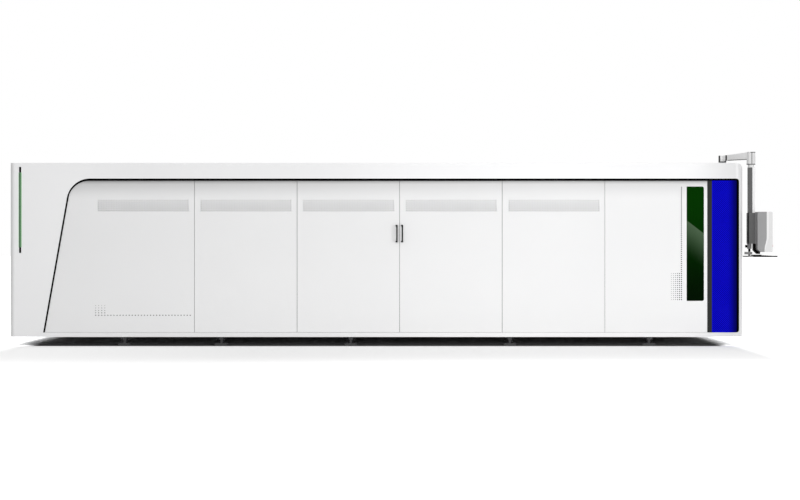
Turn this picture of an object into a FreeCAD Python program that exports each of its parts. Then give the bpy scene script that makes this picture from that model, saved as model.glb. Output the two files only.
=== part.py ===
import FreeCAD, Part
import math
import os

# Enclosed fiber laser cutting machine, in millimetres.
#
# X runs along the machine: 0 is the outer face of the left end, where the pallet
# goes in, and +X points to the operator's end with the swivelling control pendant.
# The photographed long side faces -Y ("near"), the other one +Y ("far").
# Z is up and z = 0 is the floor.  All shapes are made in these coordinates and
# moved once, when saved, so that the origin is the bottom centre of the machine.

V = FreeCAD.Vector

# --- enclosure -----------------------------------------------------------------
BODY_LENGTH = 9900.0
BODY_WIDTH = 3300.0
BODY_HEIGHT = 2350.0
GROUND_CLEARANCE = 115.0
LEFT_CORNER_RADIUS = 65.0        # seen from above
RIGHT_CORNER_RADIUS = 110.0      # seen from above
ROOF_END_RADIUS = 90.0           # the roof rolls over into the right end
SHEET = 3.0                      # fascias, end walls and roof
PANEL_SHEET = 2.0                # recessed panels and door leaves
COVER_DEPTH = 45.0               # folded depth of fascias and end walls
PANEL_RECESS = 20.0              # panel faces lie this far behind the fascia
FIT_GAP = 0.3                    # between pieces that are slid or dropped in

# --- the recess that holds the panels, on both long sides --------------------------
TOP_BAND = 211.0
BOTTOM_RAIL = 60.0
RIGHT_FRAME = 55.0
RECESS_START = 446.0             # from the left end, at the recess's lower edge
RECESS_SLANT = math.radians(10)
RECESS_RADIUS = 320.0
RECESS_END_RADIUS = 40.0
TRIM_TOP = 27.0
TRIM_SLANT = 15.0
TRIM_END = 30.0
TRIM_SET_BACK = 5.0

# --- what fills the recess ---------------------------------------------------------
PANEL_PITCH = 1386.0
PANEL_COUNT = 6
PANEL_GAP = 5.0
GRILLE_WIDTH = 335.0
CORNER_POST_WIDTH = 62.0
DOOR_GAP = 6.0                   # at the hinged edge
DOOR_THICKNESS = 20.0
DOOR_PIVOT_INSET = 10.0          # from the leaf's face and from its edge
DOOR_PIN_RADIUS = 6.0
DOOR_PIN_LENGTH = 34.0
DOOR_END_GAP = 3.0               # under and over the leaves
HINGE_BLOCK_WIDTH = 44.0
HINGE_BLOCK_HEIGHT = 40.0
RUNNING_FIT = 0.05               # between a pin and its bore, on the radius

WINDOW_WIDTH = 234.0
WINDOW_HEIGHT = 1546.0
WINDOW_BOTTOM = 601.0
WINDOW_TO_POST = 47.0            # from the window to the panel's right edge
WINDOW_RADIUS = 25.0
GLASS_THICKNESS = 6.0
GLASS_OVERLAP = 20.0

HANDLE_LENGTH = 235.0
HANDLE_ROD = 17.0
HANDLE_REACH = 55.0
HANDLE_CENTRE = 1510.0
HANDLE_FROM_EDGE = 37.0
HANDLE_BEND = 22.0
HANDLE_FOOT_WIDTH = 26.0
HANDLE_FOOT_HEIGHT = 20.0
HANDLE_FOOT_OFFSET = 4.0         # of the feet towards the left of the bar
HANDLE_FOOT_DEPTH = 14.0

# --- status light on the near fascia ----------------------------------------------
LIGHT_CENTRE = 137.0
LIGHT_WIDTH = 27.0
LIGHT_TOP = 2410.0
LIGHT_BOTTOM = 1249.0
LIGHT_PROUD = 3.0
LIGHT_DEPTH = 22.0
LIGHT_CAP = 72.0                 # black ends above and below the lens
LENS_WIDTH = 19.0
LENS_THICKNESS = 9.0

# --- steel frame ---------------------------------------------------------------------
BASE_TUBE_WIDTH = 100.0
BASE_TUBE_HEIGHT = 120.0
BASE_WALL = 6.0
POST_SIZE = 60.0
POST_WALL = 4.0
HEADER_HEIGHT = 80.0
HEADER_OVER_TRIM = 20.0          # the header stands this far above the recess
FOOT_1 = 1540.0                  # stations of the feet, from the left end
FOOT_2 = 2850.0
FOOT_3 = 4600.0
FOOT_4 = 6750.0
FOOT_5 = 8630.0
FOOT_PAD_SIZE = 160.0
FOOT_PAD_HEIGHT = 30.0
FOOT_SCREW_RADIUS = 24.0         # hexagonal jacking screw, over its corners
FOOT_NUT_RADIUS = 48.0           # hexagonal lock nut, over its corners
FOOT_NUT_HEIGHT = 40.0
ROOF_PANEL_COUNT = 7
ROOF_SEAM = 4.0

# --- right and left ends -----------------------------------------------------------
END_FIELD_WIDTH = 2700.0         # recess in the right end, across the machine
END_PANEL_COUNT = 3
END_WINDOW_WIDTH = 560.0
END_WINDOW_HEIGHT = 700.0
END_WINDOW_BOTTOM = 1150.0
DOORWAY_WIDTH = 2600.0
DOORWAY_HEIGHT = 450.0
DOORWAY_SILL = 640.0
LIFT_TRAVEL = 450.0
LIFT_DOOR_OVERLAP = 40.0
LIFT_DOOR_THICKNESS = 30.0
LIFT_DOOR_SHEET = 3.0
GUIDE_WALL = 5.0
GUIDE_GRIP = 20.0                # how far the door's edge runs inside its guide
GUIDE_PLAY = 0.5

# --- bed, pallet and scrap ---------------------------------------------------------
BED_START = 350.0
BED_LENGTH = 9000.0
BED_BEAM_WIDTH = 260.0
BED_BEAM_HEIGHT = 550.0
BED_WALL = 12.0
BED_SIDE_GAP = 45.0              # from the posts to the bed
BED_CROSS_WIDTH = 150.0
BED_CROSS_HEIGHT = 100.0
BED_CROSS_WALL = 8.0
BED_CROSS_COUNT = 6
PORT_LENGTH = 260.0              # suction ports in the beams' inner walls
PORT_HEIGHT = 90.0
PORT_COUNT = 6
LEDGE_DROP = 130.0               # below the bed's top
LEDGE_WIDTH = 60.0
LEDGE_THICKNESS = 12.0
PALLET_START = 900.0
PALLET_LENGTH = 6400.0
PALLET_SIDE_GAP = 25.0
PALLET_RAIL_WIDTH = 60.0
PALLET_RAIL_HEIGHT = 80.0
PALLET_WALL = 5.0
PALLET_CROSS_COUNT = 5
PALLET_SHOE_LENGTH = 120.0
PALLET_SHOE_HEIGHT = 25.0
SLAT_COUNT = 24
SLAT_TEETH = 7
SLAT_HEIGHT = 100.0
SLAT_THICKNESS = 5.0
SLAT_TOOTH_DEPTH = 30.0
SLAT_END_GAP = 12.0              # from the slat's end to the pallet's outer face
SLAT_INSET = 90.0                # from the pallet's ends to the first and last slat
BIN_COUNT = 3
BIN_LENGTH = 2000.0
BIN_WIDTH = 1500.0
BIN_HEIGHT = 180.0
BIN_SHEET = 4.0
BIN_DRAFT = 60.0                 # the walls lean out by this much at the rim
CHUTE_SHEET = 4.0
CHUTE_TOP_DROP = 60.0            # below the pallet's ledges
EXHAUST_RADIUS = 150.0
EXHAUST_SHEET = 3.0
EXHAUST_DUCT_GAP = 3.0           # from the round outlet to the square duct behind it
EXHAUST_HEIGHT = 510.0
EXHAUST_FLANGE = 360.0
EXHAUST_FLANGE_THICKNESS = 10.0
EXHAUST_HOLE_GAP = 3.0
EXHAUST_PANEL = 2                # the far panel that the outlet passes through

# --- gantry and cutting head ---------------------------------------------------------
RAIL_WIDTH = 34.0
RAIL_HEIGHT = 40.0
RAIL_WAIST = 24.0                # width where the blocks' balls run
RAIL_GROOVE = 12.0               # height of the waisted groove
RAIL_END_MARGIN = 100.0          # from the bed's ends
RACK_WIDTH = 25.0
RACK_HEIGHT = 30.0
RAIL_TO_RACK = 45.0              # clear space between rail and rack
PINION_TEETH = 16
PINION_MODULE = 5.0
PINION_HEIGHT = 28.0
PINION_LIFT = 3.0                # above the bed beam
TOOTH_ROOT_START = 0.22          # shares of one tooth's pitch: valley, rising flank, crest
TOOTH_CREST_START = 0.40
TOOTH_CREST_END = 0.82
DEDENDUM = 1.25                  # modules below the pitch circle
MOTOR_SHAFT_RADIUS = 16.0        # hexagonal, over its corners
MOTOR_SIZE = 120.0
MOTOR_HEIGHT = 260.0
MOTOR_EDGE = 14.0                # chamfer of the motors' upright edges
MOTOR_TO_BEAM = 10.0
SHAFT_CLEARANCE = 1.0            # round the pinion shafts, in the trucks
GEARBOX_SIZE = 110.0
GEARBOX_HEIGHT = 90.0
GANTRY_FAR_END = 1300.0          # centre of the beam at the far end of its travel
GANTRY_TRAVEL = 7000.0
GANTRY_PARK = GANTRY_FAR_END + GANTRY_TRAVEL
TRUCK_LENGTH = 620.0
TRUCK_WIDTH = 250.0
TRUCK_THICKNESS = 40.0
TRUCK_MARGIN = 10.0              # outside the rail blocks
RISER_WIDTH = 120.0
RISER_HEIGHT = 120.0
BLOCK_LENGTH = 110.0
BLOCK_WIDTH = 90.0
BLOCK_HEIGHT = 80.0
BLOCK_LIFT = 8.0                 # the blocks clear the bed by this much
RAIL_PLAY = 0.3
BEAM_WIDTH = 280.0
BEAM_HEIGHT = 340.0
BEAM_WALL = 14.0
BEAM_CHAMFER = 90.0
CROSS_RAIL_SIZE = 28.0
CROSS_RAIL_INSET = 55.0          # from the beam's upper and lower edges
CROSS_RAIL_MARGIN = 120.0        # beyond the carriage at the ends of its travel
CARRIAGE_WIDTH = 320.0
CARRIAGE_HEIGHT = 480.0
CARRIAGE_DROP = 30.0             # below the beam's underside
CARRIAGE_THICKNESS = 30.0
CARRIAGE_TRAVEL = 1080.0         # each way from the middle
CROSS_BLOCK_LENGTH = 90.0
CROSS_BLOCK_HEIGHT = 60.0
CROSS_BLOCK_THICKNESS = 42.0
SLIDE_WIDTH = 170.0
SLIDE_HEIGHT = 370.0
SLIDE_THICKNESS = 24.0
SLIDE_GUIDE_WIDTH = 30.0
SLIDE_GUIDE_DEPTH = 18.0
SLIDE_GUIDE_MARGIN = 10.0        # from the carriage plate's ends
SLIDE_CHEEK = 12.0
SLIDE_OVERHANG = 20.0            # the slide plate reaches below the head's body
HEAD_TRAVEL = 120.0
HEAD_WIDTH = 120.0
HEAD_DEPTH = 130.0
HEAD_HEIGHT = 330.0
HEAD_EDGE = 14.0                 # chamfer of the head's upright edges
FIBRE_SOCKET_SIZE = 46.0
FIBRE_SOCKET_HEIGHT = 80.0
NOZZLE_LENGTH = 150.0
NOZZLE_TIP_RADIUS = 8.0
NOZZLE_CONE_LENGTH = 60.0
NOZZLE_CONE_RADIUS = 26.0
NOZZLE_BODY_RADIUS = 40.0
NOZZLE_SIDES = 24
WORK_GAP = 15.0                  # nozzle above the slats at the low end of its travel
Z_MOTOR_SIZE = 80.0
Z_MOTOR_HEIGHT = 150.0

# --- control pendant -------------------------------------------------------------------
PENDANT_BASE_X = 174.0           # in from the right end
PENDANT_BASE_Y = 750.0           # in from the near side
PENDANT_PLATE = 120.0
PENDANT_PLATE_THICKNESS = 12.0
PENDANT_HUB_SIZE = 100.0
PENDANT_CAP = 14.0               # thickness of the hub above the pin
PENDANT_HUB_HEIGHT = 92.0
PENDANT_PEDESTAL_SIZE = 88.0
PENDANT_PEDESTAL_HEIGHT = 24.0
PENDANT_PIN_RADIUS = 20.0
PENDANT_AXIS_X = 142.0           # elbow axis, out from the right end
PENDANT_AXIS_Y = 250.0           # elbow axis, in from the near side
ARM_HEIGHT_AT_HUB = 68.0
ARM_WIDTH_AT_HUB = 64.0
ARM_WIDTH_AT_ELBOW = 80.0
ARM_UNDERSIDE = 2521.0
ELBOW_SIZE = 108.0
ELBOW_TOP = 2623.0
ELBOW_BOTTOM = 2450.0
ELBOW_EDGE = 16.0                # chamfer of the arm's upright edges
ELBOW_PIN_LENGTH = 90.0
SWIVEL_GAP = 0.4
COLLAR_RADIUS = 41.0
COLLAR_HEIGHT = 34.0
COLUMN_WIDTH = 54.0
COLUMN_DEPTH = 80.0
CABLE_COVER_WIDTH = 40.0
CABLE_COVER_DEPTH = 60.0
BRACKET_BOX_WIDTH = 100.0
BRACKET_BOX_DEPTH = 130.0
BRACKET_BOX_TOP = 1793.0
BRACKET_BOX_BOTTOM = 1375.0
HMI_MOUNT_GAP = 5.0              # thickness of the plate between box and housing
HMI_WIDTH = 460.0
HMI_TOP = 1806.0
HMI_BOTTOM = 1262.0
HMI_DEPTH = 203.0
BEZEL_DEPTH = 52.0
CHIN_DEPTH = 110.0
CHIN_HEIGHT = 190.0
HMI_TOP_RADIUS = 14.0
HMI_BACK_RADIUS = 60.0
SCREEN_MARGIN = 34.0
SCREEN_HEIGHT = 290.0
SCREEN_THICKNESS = 4.0
BUTTON_RADIUS = 20.0
BUTTON_CROWN_RADIUS = 15.0
BUTTON_SIDES = 24
BUTTON_BRIM = 9.0
BUTTON_STEM_SIZE = 16.0
BUTTON_PROUD = 24.0
BUTTON_CAP = 14.0
BUTTON_TRAVEL = 6.0
BUTTON_STEM_LENGTH = 30.0
BUTTON_HEIGHT = 1345.0
BUTTON_SPACING = 90.0
CLAMP_WIDTH = 56.0
CLAMP_DEPTH = 60.0
CLAMP_HEIGHT = 69.0
CLAMP_EDGE = 12.0
TRAY_POST_WIDTH = 28.0
TRAY_POST_DEPTH = 24.0
TRAY_TRAVEL = 100.0
TRAY_POST_HIDDEN = TRAY_TRAVEL + 50.0    # the post's length inside clamp and column
TRAY_TOP = 1197.0
TRAY_REACH = 325.0               # from the elbow axis to the tray's front edge
TRAY_REAR = 76.0                 # from the elbow axis to the tray's rear edge
TRAY_WIDTH = 440.0
TRAY_SHEET = 3.0
TRAY_LIP = 12.0
TRAY_PLATE = 92.0
TRAY_PLATE_HEIGHT = 33.0
TRAY_PLATE_LIFT = 33.0           # above the tray's floor
TRAY_PLATE_BACK = 13.0           # from the post's centre, away from the tray's front edge
TRAY_BLOCK_START = 16.0          # from the elbow axis
TRAY_BLOCK_LENGTH = 112.0
TRAY_BLOCK_WIDTH = 200.0
TRAY_BLOCK_HEIGHT = 28.0
PANEL_BRACKET_WIDTH = 120.0
PANEL_BRACKET_BAR = 26.0
KEYBOARD_LENGTH = 380.0
KEYBOARD_DEPTH = 150.0
KEYBOARD_HEIGHT = 16.0           # at the rear
KEYBOARD_FRONT_HEIGHT = 8.0
KEYBOARD_FROM_AXIS = 130.0
KNOB_RADIUS = 18.0               # over the corners of its eight grips
KNOB_GRIPS = 8
KNOB_LENGTH = 27.0
KNOB_STEM_RADIUS = 5.0           # hexagonal, over its corners
KNOB_STEM_LENGTH = 10.0

# --- places worked out from the sizes --------------------------------------------------
FOOT_STATIONS = (FOOT_1, FOOT_2, FOOT_3, FOOT_4, FOOT_5)
NEAR = -BODY_WIDTH / 2                       # outer plane of the near side
BODY_BOTTOM = GROUND_CLEARANCE
BODY_TOP = GROUND_CLEARANCE + BODY_HEIGHT
RECESS_TOP = BODY_TOP - TOP_BAND
RECESS_BOTTOM = BODY_BOTTOM + BOTTOM_RAIL
RECESS_END = BODY_LENGTH - RIGHT_FRAME
FIELD_TOP = RECESS_TOP - TRIM_TOP            # upper edge of panels and doors
GRILLE_END = RECESS_END - TRIM_END
GRILLE_START = GRILLE_END - GRILLE_WIDTH
POST_STRIP_START = GRILLE_START - CORNER_POST_WIDTH
BASE_TOP = BODY_BOTTOM + BASE_TUBE_HEIGHT
FRAME_FRONT = COVER_DEPTH                    # depth of the steel frame's outer face
FRAME_BACK = COVER_DEPTH + POST_SIZE
LEFT_TANGENT = LEFT_CORNER_RADIUS
RIGHT_TANGENT = BODY_LENGTH - RIGHT_CORNER_RADIUS
ROOF_RAIL_TOP = BODY_TOP - SHEET
ROOF_RAIL_BOTTOM = ROOF_RAIL_TOP - POST_SIZE
HEADER_TOP = RECESS_TOP + HEADER_OVER_TRIM
HEADER_BOTTOM = HEADER_TOP - HEADER_HEIGHT
BED_OUTER = BODY_WIDTH / 2 - FRAME_BACK - BED_SIDE_GAP
BED_INNER = BED_OUTER - BED_BEAM_WIDTH
BED_TOP = BASE_TOP + BED_BEAM_HEIGHT
BED_END = BED_START + BED_LENGTH
RAIL_CENTRE = (BED_OUTER + BED_INNER) / 2 + (RAIL_TO_RACK + RACK_WIDTH) / 2
RAIL_TOP = BED_TOP + RAIL_HEIGHT
PITCH_RADIUS = PINION_MODULE * PINION_TEETH / 2
TIP_RADIUS = PITCH_RADIUS + PINION_MODULE
LEDGE_TOP = BED_TOP - LEDGE_DROP
PALLET_HALF = BED_INNER - PALLET_SIDE_GAP
PALLET_BOTTOM = LEDGE_TOP + PALLET_SHOE_HEIGHT
SLAT_BOTTOM = PALLET_BOTTOM + PALLET_RAIL_HEIGHT
SLAT_TOP = SLAT_BOTTOM + SLAT_HEIGHT
BIN_BOTTOM = BASE_TOP + BED_CROSS_HEIGHT
TRUCK_BOTTOM = BED_TOP + BLOCK_LIFT + BLOCK_HEIGHT
TRUCK_TOP = TRUCK_BOTTOM + TRUCK_THICKNESS
BEAM_BOTTOM = TRUCK_TOP + RISER_HEIGHT
BEAM_FRONT = GANTRY_PARK - BEAM_WIDTH / 2
ELBOW_X = BODY_LENGTH + PENDANT_AXIS_X
ELBOW_Y = NEAR + PENDANT_AXIS_Y
HUB_X = BODY_LENGTH - PENDANT_BASE_X
HUB_Y = NEAR + PENDANT_BASE_Y

# The origin is the bottom centre of the whole machine, pendant included.
ORIGIN_SHIFT = V(-(BODY_LENGTH + PENDANT_AXIS_X + TRAY_REACH) / 2, 0, 0)


def seam(number):
    """Station of the seam to the right of near panel 1, 2, 3, 4 or 5."""
    return POST_STRIP_START - (PANEL_COUNT - number) * PANEL_PITCH


# --- outlines ----------------------------------------------------------------------------
# A corner is (u, v, radius).  An outline is a list of corners, in order.

def direction(start, end):
    """Unit vector, in the outline's plane, from one corner to the next."""
    du = end[0] - start[0]
    dv = end[1] - start[1]
    length = math.hypot(du, dv)
    return du / length, dv / length


def turn_sign(corners):
    """+1 for an outline that runs anticlockwise, -1 for a clockwise one."""
    following = corners[1:] + corners[:1]
    area = sum(a[0] * b[1] - b[0] * a[1] for a, b in zip(corners, following))
    return 1 if area > 0 else -1


def inset(corners, distance):
    """The outline moved inward by distance, with its radii following."""
    turn = turn_sign(corners)
    moved = []
    for i, corner in enumerate(corners):
        du1, dv1 = direction(corners[i - 1], corner)
        du2, dv2 = direction(corner, corners[(i + 1) % len(corners)])
        scale = distance * turn / (1 + du1 * du2 + dv1 * dv2)
        u = corner[0] + scale * (-dv1 - dv2)
        v = corner[1] + scale * (du1 + du2)
        convex = (du1 * dv2 - dv1 * du2) * turn > 0
        radius = corner[2]
        if radius > 0:
            radius = max(radius - distance if convex else radius + distance, 0)
        moved.append((u, v, radius))
    return moved


def rounded_wire(corners, place):
    """Closed wire through the corners, each one rounded to its radius."""
    arcs = []
    for i, corner in enumerate(corners):
        back_u, back_v = direction(corner, corners[i - 1])
        next_u, next_v = direction(corner, corners[(i + 1) % len(corners)])
        u, v, radius = corner
        if radius <= 0:
            arcs.append((place(u, v), None, place(u, v)))
            continue
        half = math.acos(back_u * next_u + back_v * next_v) / 2
        reach = radius / math.tan(half)
        bisector = math.hypot(back_u + next_u, back_v + next_v)
        middle = (radius / math.sin(half) - radius) / bisector
        arcs.append((
            place(u + back_u * reach, v + back_v * reach),
            place(u + (back_u + next_u) * middle, v + (back_v + next_v) * middle),
            place(u + next_u * reach, v + next_v * reach),
        ))
    edges = []
    for i, (start, middle, end) in enumerate(arcs):
        previous = arcs[i - 1][2]
        if previous.distanceToPoint(start) > 1e-6:
            edges.append(Part.makeLine(previous, start))
        if middle is not None:
            edges.append(Part.Arc(start, middle, end).toShape())
    return Part.Wire(edges)


def prism(corners, place, along):
    """Solid of the outline, moved along a vector."""
    return Part.Face(rounded_wire(corners, place)).extrude(along)


def flat(z):
    """Place an outline (x, y) at height z."""
    return lambda u, v: V(u, v, z)


def sideways(y):
    """Place an outline (x, z) in the plane of that y."""
    return lambda u, v: V(u, y, v)


def endways(x):
    """Place an outline (y, z) in the plane of that x."""
    return lambda u, v: V(x, u, v)


def rectangle(u0, u1, v0, v1, radius=0.0):
    return [(u0, v0, radius), (u1, v0, radius), (u1, v1, radius), (u0, v1, radius)]


def box(x0, x1, y0, y1, z0, z1):
    return Part.makeBox(x1 - x0, y1 - y0, z1 - z0, V(x0, y0, z0))


def rod(radius, length, base, along=V(0, 0, 1)):
    return Part.makeCylinder(radius, length, base, along)


def mirrored(shape):
    """The same shape on the far side."""
    return shape.mirror(V(0, 0, 0), V(0, 1, 0))


def both_sides(shapes):
    """The near side's shapes and their far copies."""
    return list(shapes) + [mirrored(shape) for shape in shapes]


def tube(x0, x1, y0, y1, z0, z1, wall):
    """Rectangular steel tube, capped at its ends."""
    return box(x0, x1, y0, y1, z0, z1).cut(
        box(x0 + wall, x1 - wall, y0 + wall, y1 - wall, z0 + wall, z1 - wall))


def chamfered(u0, u1, v0, v1, size):
    """Rectangle whose four corners are cut off at 45 degrees."""
    return [(u0 + size, v0, 0.0), (u1 - size, v0, 0.0), (u1, v0 + size, 0.0),
            (u1, v1 - size, 0.0), (u1 - size, v1, 0.0), (u0 + size, v1, 0.0),
            (u0, v1 - size, 0.0), (u0, v0 + size, 0.0)]


def regular(u, v, radius, sides):
    """Regular polygon about (u, v), its corners on the radius."""
    turns = [2 * math.pi * i / sides for i in range(sides)]
    return [(u + radius * math.cos(a), v + radius * math.sin(a), 0.0) for a in turns]


def spread(first, last, count):
    """Evenly spaced stations, the ends included."""
    return [first + (last - first) * i / (count - 1) for i in range(count)]


def centred(middle, size):
    """Low and high end of a size about its middle."""
    return middle - size / 2, middle + size / 2


# --- outlines of the enclosure -----------------------------------------------------------
PLAN = [
    (0.0, NEAR, LEFT_CORNER_RADIUS),
    (BODY_LENGTH, NEAR, RIGHT_CORNER_RADIUS),
    (BODY_LENGTH, -NEAR, RIGHT_CORNER_RADIUS),
    (0.0, -NEAR, LEFT_CORNER_RADIUS),
]
ELEVATION = [
    (-BODY_WIDTH, BODY_BOTTOM, 0.0),
    (BODY_LENGTH, BODY_BOTTOM, 0.0),
    (BODY_LENGTH, BODY_TOP, ROOF_END_RADIUS),
    (-BODY_WIDTH, BODY_TOP, 0.0),
]
DOORWAY = rectangle(-DOORWAY_WIDTH / 2, DOORWAY_WIDTH / 2,
                    DOORWAY_SILL, DOORWAY_SILL + DOORWAY_HEIGHT)
END_FIELD = rectangle(-END_FIELD_WIDTH / 2, END_FIELD_WIDTH / 2,
                      RECESS_BOTTOM, RECESS_TOP)


def slant_x(start, z):
    """Station, at height z, of a line that leans like the recess's left edge."""
    return start + (z - RECESS_BOTTOM) * math.tan(RECESS_SLANT)


def slanted(start, end, bottom, top, slant_radius, end_radius):
    """Region whose left edge leans like the recess, from a start at the recess's foot."""
    return [
        (slant_x(start, bottom), bottom, 0.0),
        (slant_x(start, top), top, slant_radius),
        (end, top, end_radius),
        (end, bottom, end_radius),
    ]


RECESS = slanted(RECESS_START, RECESS_END, RECESS_BOTTOM, RECESS_TOP,
                 RECESS_RADIUS, RECESS_END_RADIUS)
FIELD_START = RECESS_START + TRIM_SLANT / math.cos(RECESS_SLANT)
FIELD_RADIUS = RECESS_RADIUS - (TRIM_TOP + TRIM_SLANT) / 2


def plan_prism(depth):
    """The body's full height, its outer walls moved in by depth."""
    return prism(inset(PLAN, depth), flat(BODY_BOTTOM), V(0, 0, BODY_HEIGHT))


def skin(front, back):
    """The layer between two depths behind the body's outer walls."""
    return plan_prism(front).cut(plan_prism(back))


def side_prism(region):
    """An (x, z) region, carried through the near side and its rounded corners."""
    margin = RIGHT_CORNER_RADIUS
    return prism(region, sideways(NEAR - margin), V(0, 2 * margin, 0))


def end_prism(region, front, back):
    """A (y, z) region of the right end, between two depths."""
    return prism(region, endways(BODY_LENGTH - back), V(back - front, 0, 0))


def side_tray(region, hole=None):
    """Folded tray with its face in the recess, following the body's corners."""
    back = COVER_DEPTH
    tray = skin(PANEL_RECESS, back).common(side_prism(region))
    pocket = skin(PANEL_RECESS + PANEL_SHEET, back + 1)
    tray = tray.cut(pocket.common(side_prism(inset(region, PANEL_SHEET))))
    return tray.cut(hole) if hole else tray


# --- fascias and end walls ----------------------------------------------------------------
def light_slot(clearance):
    """The status light's outline on the near fascia."""
    left, right = centred(LIGHT_CENTRE, LIGHT_WIDTH)
    return inset(rectangle(left, right, LIGHT_BOTTOM, LIGHT_TOP), -clearance)


def plain_fascia():
    """White folded cover round the recess of a long side."""
    zone = rectangle(LEFT_TANGENT, RIGHT_TANGENT, BODY_BOTTOM, BODY_TOP)
    cover = skin(0, COVER_DEPTH).common(side_prism(zone))
    pocket = skin(SHEET, COVER_DEPTH + 1).common(side_prism(inset(zone, SHEET)))
    pocket = pocket.cut(side_prism(inset(RECESS, -SHEET)))
    return cover.cut(pocket).cut(side_prism(RECESS))


def left_end_wall():
    """End cover with both left corners and the doorway for the pallet."""
    reach = LEFT_TANGENT
    high, low = BODY_TOP - SHEET, BODY_BOTTOM + SHEET
    cover = plan_prism(0).common(box(-reach, reach, -BODY_WIDTH, BODY_WIDTH, 0, BODY_TOP))
    hollow = plan_prism(SHEET).common(box(-reach, reach, -BODY_WIDTH, BODY_WIDTH, low, high))
    doorway_rim = prism(inset(DOORWAY, -SHEET), endways(0), V(COVER_DEPTH, 0, 0))
    cover = cover.cut(hollow.cut(doorway_rim)).cut(plan_prism(COVER_DEPTH))
    return cover.cut(prism(DOORWAY, endways(-reach), V(2 * reach, 0, 0)))


def right_end_wall():
    """End cover with both right corners, the rolled roof edge and its own recess."""
    reach = RIGHT_CORNER_RADIUS
    zone = box(RIGHT_TANGENT, BODY_LENGTH + reach, -BODY_WIDTH, BODY_WIDTH, 0, BODY_TOP)
    across = V(0, 2 * BODY_WIDTH, 0)
    outer = plan_prism(0).common(prism(ELEVATION, sideways(-BODY_WIDTH), across))
    inner = plan_prism(SHEET).common(prism(inset(ELEVATION, SHEET), sideways(-BODY_WIDTH), across))
    throat_top = BODY_TOP - ROOF_END_RADIUS
    throat = plan_prism(COVER_DEPTH).common(
        box(0, BODY_LENGTH, -BODY_WIDTH, BODY_WIDTH, 0, throat_top))
    cover = outer.common(zone).cut(inner).cut(throat)
    side_rim = skin(SHEET, COVER_DEPTH).common(side_prism(inset(RECESS, -SHEET))).common(zone)
    end_rim = end_prism(inset(END_FIELD, -SHEET), SHEET, COVER_DEPTH)
    cover = cover.fuse([side_rim, mirrored(side_rim), end_rim])
    recess = side_prism(RECESS)
    opening = end_prism(END_FIELD, -1, COVER_DEPTH + 1)
    return cover.cut([recess, mirrored(recess), opening]).removeSplitter()


def recess_trim():
    """Black edging along the recess's slant, top and end."""
    edge = inset(RECESS, FIT_GAP)
    field = slanted(FIELD_START, GRILLE_END, RECESS_BOTTOM - COVER_DEPTH, FIELD_TOP,
                    FIELD_RADIUS, 0.0)
    band = skin(TRIM_SET_BACK, COVER_DEPTH).common(side_prism(edge))
    return band.cut(side_prism(field))


# --- panels, doors and windows ---------------------------------------------------------------
def panel_region(number):
    """Outline (x, z) of a fixed panel, counted from the left end."""
    bottom = RECESS_BOTTOM + PANEL_GAP / 2
    top = FIELD_TOP - FIT_GAP
    right = seam(number) - PANEL_GAP / 2
    if number == 1:
        start = FIELD_START + FIT_GAP
        return slanted(start, right, bottom, top, FIELD_RADIUS, 0.0)
    return rectangle(seam(number - 1) + PANEL_GAP / 2, right, bottom, top)


def window_region(radius):
    """Window in near panel 6: square corners on the left, rounded on the right."""
    right = POST_STRIP_START - WINDOW_TO_POST
    left = right - WINDOW_WIDTH
    top = WINDOW_BOTTOM + WINDOW_HEIGHT
    return [(left, WINDOW_BOTTOM, 0.0), (right, WINDOW_BOTTOM, radius),
            (right, top, radius), (left, top, 0.0)]


def window_panel():
    return side_tray(panel_region(PANEL_COUNT), side_prism(window_region(WINDOW_RADIUS)))


def side_window_glass():
    """Pane seated on the back of near panel 6."""
    front = PANEL_RECESS + PANEL_SHEET
    pane = inset(window_region(0.0), -GLASS_OVERLAP)
    return skin(front, front + GLASS_THICKNESS).common(side_prism(pane))


def end_window_region():
    half = END_WINDOW_WIDTH / 2
    return rectangle(-half, half, END_WINDOW_BOTTOM, END_WINDOW_BOTTOM + END_WINDOW_HEIGHT)


def end_panels():
    """Folded trays side by side in the right end, the middle one with a window."""
    field = inset(END_FIELD, FIT_GAP)
    pitch = END_FIELD_WIDTH / END_PANEL_COUNT
    panels = []
    for i in range(END_PANEL_COUNT):
        start = -END_FIELD_WIDTH / 2 + i * pitch
        slot = rectangle(start + PANEL_GAP / 2, start + pitch - PANEL_GAP / 2,
                         BODY_BOTTOM, BODY_TOP)
        tray = end_prism(field, PANEL_RECESS, COVER_DEPTH)
        tray = tray.common(end_prism(slot, PANEL_RECESS, COVER_DEPTH))
        front = PANEL_RECESS + PANEL_SHEET
        pocket = end_prism(inset(field, PANEL_SHEET), front, COVER_DEPTH + 1)
        pocket = pocket.common(end_prism(inset(slot, PANEL_SHEET), front, COVER_DEPTH + 1))
        panels.append(tray.cut(pocket))
    middle = END_PANEL_COUNT // 2
    panels[middle] = panels[middle].cut(end_prism(end_window_region(), 0, COVER_DEPTH))
    return panels


def end_window_glass():
    front = PANEL_RECESS + PANEL_SHEET
    pane = inset(end_window_region(), -GLASS_OVERLAP)
    return end_prism(pane, front, front + GLASS_THICKNESS)


def grille_tray():
    """Blue corner panel, rolled round the right corner."""
    region = rectangle(GRILLE_START + FIT_GAP, GRILLE_END - FIT_GAP,
                       RECESS_BOTTOM + PANEL_GAP / 2, FIELD_TOP - FIT_GAP)
    return side_tray(region)


def corner_strip():
    """Dark upright between the last panel and the blue corner panel."""
    region = rectangle(POST_STRIP_START, GRILLE_START,
                       RECESS_BOTTOM + PANEL_GAP / 2, FIELD_TOP - FIT_GAP)
    return side_tray(region)


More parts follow.
